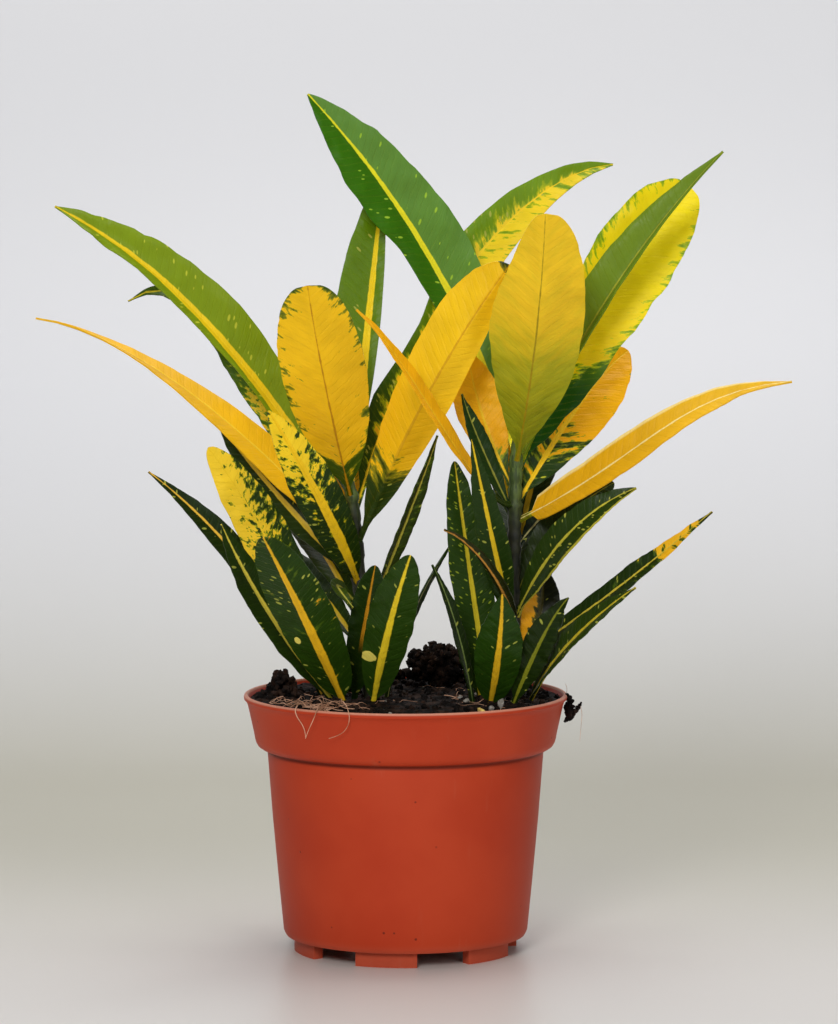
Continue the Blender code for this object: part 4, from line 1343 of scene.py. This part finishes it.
def rib_mask(at, look, flecks):
    """The coloured midrib, which is thinner at the stalk and towards the tip."""
    taper = (1 - at.along * at.along * 0.9) * (0.5 + 0.5 * at.along.step(0.05, 0.35))
    half_width = taper * (look.rib_width / 2) + (flecks - 0.5) * 0.7
    rib = 1 - (at.across - half_width).step(-0.15, 0.2)
    if look.rib_from:
        rib = rib * at.along.step(look.rib_from - 0.1, look.rib_from + 0.1)
    return rib

# %% The finish itself
PALE = linear(240, 222, 104)
UNDERSIDE = linear(150, 156, 60)
GLOSSY, DULL = 0.34, 0.44           # roughness of the upper and the under face
SOFT_VEINS, RAISED_VEINS = 0.25, 0.5
SUNK_RIB, RAISED_RIB = 0.5, -0.8


def leaf_finish(name, look, length, seed, under=False):
    paint = Finish(name)
    at = blade_place(paint, length)
    scale, stretch = look.grain
    fleck_place = paint.join(at.slanted + seed * 31, at.y * stretch, seed * 1.7)
    flecks = paint.noise(fleck_place, scale, 4, 0.62)
    slow = paint.noise(paint.join(at.x + seed * 17, at.y, seed), 0.06, 2)
    fine = paint.noise(paint.join(at.x, at.y, seed * 3.1), 1.6, 2)
    pucker = paint.noise(paint.join(at.slanted + seed * 7, at.y * 0.5, seed), 0.24, 3)

    ramp = paint.node("ShaderNodeValToRGB", {"stops": look.ramp}, {"Fac": at.along})
    amount = ramp + (flecks - 0.5) * (look.mottle * 1.6) - at.off * at.off * look.margin
    amount = amount + (at.side - 0.5) * look.lean
    gold = amount.step(0.5 - look.soft * 0.3, 0.5 + look.soft)
    young = amount.step(0.34 - look.soft, 0.5 + look.soft * 0.5)

    leafy = paint.mix(at.along.step(0.25, 0.6), linear(*look.blade), linear(*(look.crown or look.blade)))
    if look.other:
        leafy = paint.mix(at.side.step(0.49, 0.53), leafy, linear(*look.other))
    golden = paint.mix(at.along.step(0.3, 0.8), linear(*look.gold), linear(*look.warm))
    vein = vein_mask(at, flecks, fine)
    colour = paint.mix(young, leafy, linear(*look.young))
    colour = paint.mix(vein * 0.07, colour, linear(*look.young))
    colour = paint.mix(gold, colour, golden)
    spots = spot_mask(paint, at, look, seed)
    colour = paint.mix(spots * (1 - gold) * 0.85, colour, linear(*look.spot))
    for patch in look.patches:
        colour = paint.mix(patch_mask(at, patch, length, flecks), colour, PALE)
    colour = paint.mix(rib_mask(at, look, flecks), colour, linear(*look.rib))
    if look.edge:
        colour = paint.mix(edge_mask(at, look.edge), colour, linear(*look.rib))
    # Painted light and shade: the pucker noise makes the colour lighter and darker as the puckers would be
    # lit and shaded; the slow noise is the leaf's own uneven tone
    colour = paint.shade(colour, 0.72 + slow * 0.32 + pucker * 0.24)
    if under:
        colour = paint.mix(0.04, colour, UNDERSIDE)

    roughness = (DULL if under else GLOSSY) + fine * 0.08 + gold * 0.04
    paint.set(Base_Color=colour, Roughness=roughness, Specular_IOR_Level=0.16)
    relief = (1 - vein) * (RAISED_VEINS if under else SOFT_VEINS) + fine * 0.2 + slow * 2.0
    relief = relief + flecks * 0.9 + pucker * 1.6
    relief = relief + at.across.step(0.0, 0.5) * (RAISED_RIB if under else SUNK_RIB)
    paint.bump(relief, 0.35 * MM, 0.7)
    return paint.material

# %% Grow the stems, then all the leaves
for side, rows in LEAVES.items():
    knots = [leaf.root for leaf in rows if not isinstance(leaf.root, tuple)]
    place_piece(build_stem(side, knots), [stem_bark()], "stem_green", side + "_stem")

seed = 0
for side, rows in LEAVES.items():
    for number, leaf in enumerate(rows, 1):
        seed += 1
        look = LOOKS[side].get(number, PLAIN_LOOKS[leaf.kind])
        blade, length = build_leaf(f"{side}_blade_{number:02d}", side, leaf, look)
        finishes = [
            leaf_finish(blade.name + "_top", look, length, seed),
            leaf_finish(blade.name + "_under", look, length, seed, under=True)]
        place_piece(blade, finishes, "leaf_" + leaf.kind, f"{side}_leaf_{number:02d}")
bpy.data.objects.remove(blank)
print("leaves:", seed)

# %% [markdown]
# ## Studio
# The floor runs back and curves up into the backdrop, so that there is no horizon. A wall
# between the plant and a camera behind it could be moved away or left out, but that
# changes the light. The sheet is clear from its back face instead, so it only shows from
# inside.

# %% Floor and backdrop in one sheet
FLOOR_FRONT, BEND_START, BEND_RADIUS, WALL_TOP = -2.2, 0.45, 0.5, 2.6
deselect_all()
bpy.ops.mesh.primitive_plane_add(size=1, location=(0, 0, 0))
floor = bpy.context.object
floor.name = "studio_floor"
bpy.ops.object.mode_set(mode="EDIT")
bpy.ops.mesh.select_all(action="SELECT")
bpy.ops.transform.resize(value=(7, BEND_START - FLOOR_FRONT, 1))
bpy.ops.transform.translate(value=(0, (BEND_START + FLOOR_FRONT) / 2, 0))
pick(floor, lambda vert: vert.co.y > BEND_START - 0.01)
bpy.ops.mesh.extrude_region_move(TRANSFORM_OT_translate={"value": (0, BEND_RADIUS, 0)})
bpy.ops.mesh.extrude_region_move(TRANSFORM_OT_translate={"value": (0, 0, WALL_TOP)})
pick(floor, lambda vert: vert.co.y > BEND_START + BEND_RADIUS - 0.01 and vert.co.z < 0.01)
bpy.ops.mesh.bevel(offset=BEND_RADIUS * 0.98, segments=24, affect="EDGES")
bpy.ops.object.mode_set(mode="OBJECT")
settle(floor)


def studio_paper():
    paint = Finish("studio_paper")
    place = paint.object_place()
    depth = paint.part(place, 1)
    # The far band of the floor is painted shade where the floor bends up
    colour = paint.mix(depth.step(-0.15, 0.3), FLOOR_COLOUR, FAR_FLOOR_SHADE)
    colour = paint.mix(depth.step(0.4, 0.86), colour, WALL_COLOUR)
    behind = paint.node("ShaderNodeNewGeometry", output="Backfacing")
    paint.set(Base_Color=colour, Roughness=0.38, Alpha=1 - behind)
    paint.set(Specular_IOR_Level=0.25)
    return paint.material


FLOOR_COLOUR = linear(220, 216, 211)
# Painted shade: a darker, yellower band on the floor before it bends up into the backdrop
FAR_FLOOR_SHADE = linear(188, 184, 167)
WALL_COLOUR = linear(231, 231, 234)
floor.data.materials.append(studio_paper())

# %% Soft lights
# Name, place, what it points at, size and watts
LIGHTS = [
    ("key", (-0.5, -2.2, 1.3), (0, 0, 0.14), 0.8, 29),
    ("fill", (1.1, -2.0, 0.8), (0, 0, 0.16), 0.9, 8),
    ("top", (0.15, 0.3, 1.5), (0, 0, 0.12), 0.9, 7),
    ("backdrop", (0.0, -0.2, 2.6), (0, 1.0, 0.7), 1.4, 12),
]
for name, place, target, size, power in LIGHTS:
    lamp = bpy.data.lights.new(name, "AREA")
    lamp.shape = "DISK"
    lamp.size = size
    lamp.energy = power
    light = bpy.data.objects.new(name, lamp)
    light.location = place
    light.rotation_euler = (Vector(target) - Vector(place)).to_track_quat("-Z", "Y").to_euler()
    bpy.context.collection.objects.link(light)

world = bpy.data.worlds.new("studio")
world.use_nodes = True
background = world.node_tree.nodes["Background"]
background.inputs["Color"].default_value = linear(232, 236, 242)
background.inputs["Strength"].default_value = 0.16
bpy.context.scene.world = world
bpy.context.scene.view_settings.view_transform = "Standard"
print("lights:", len(LIGHTS))
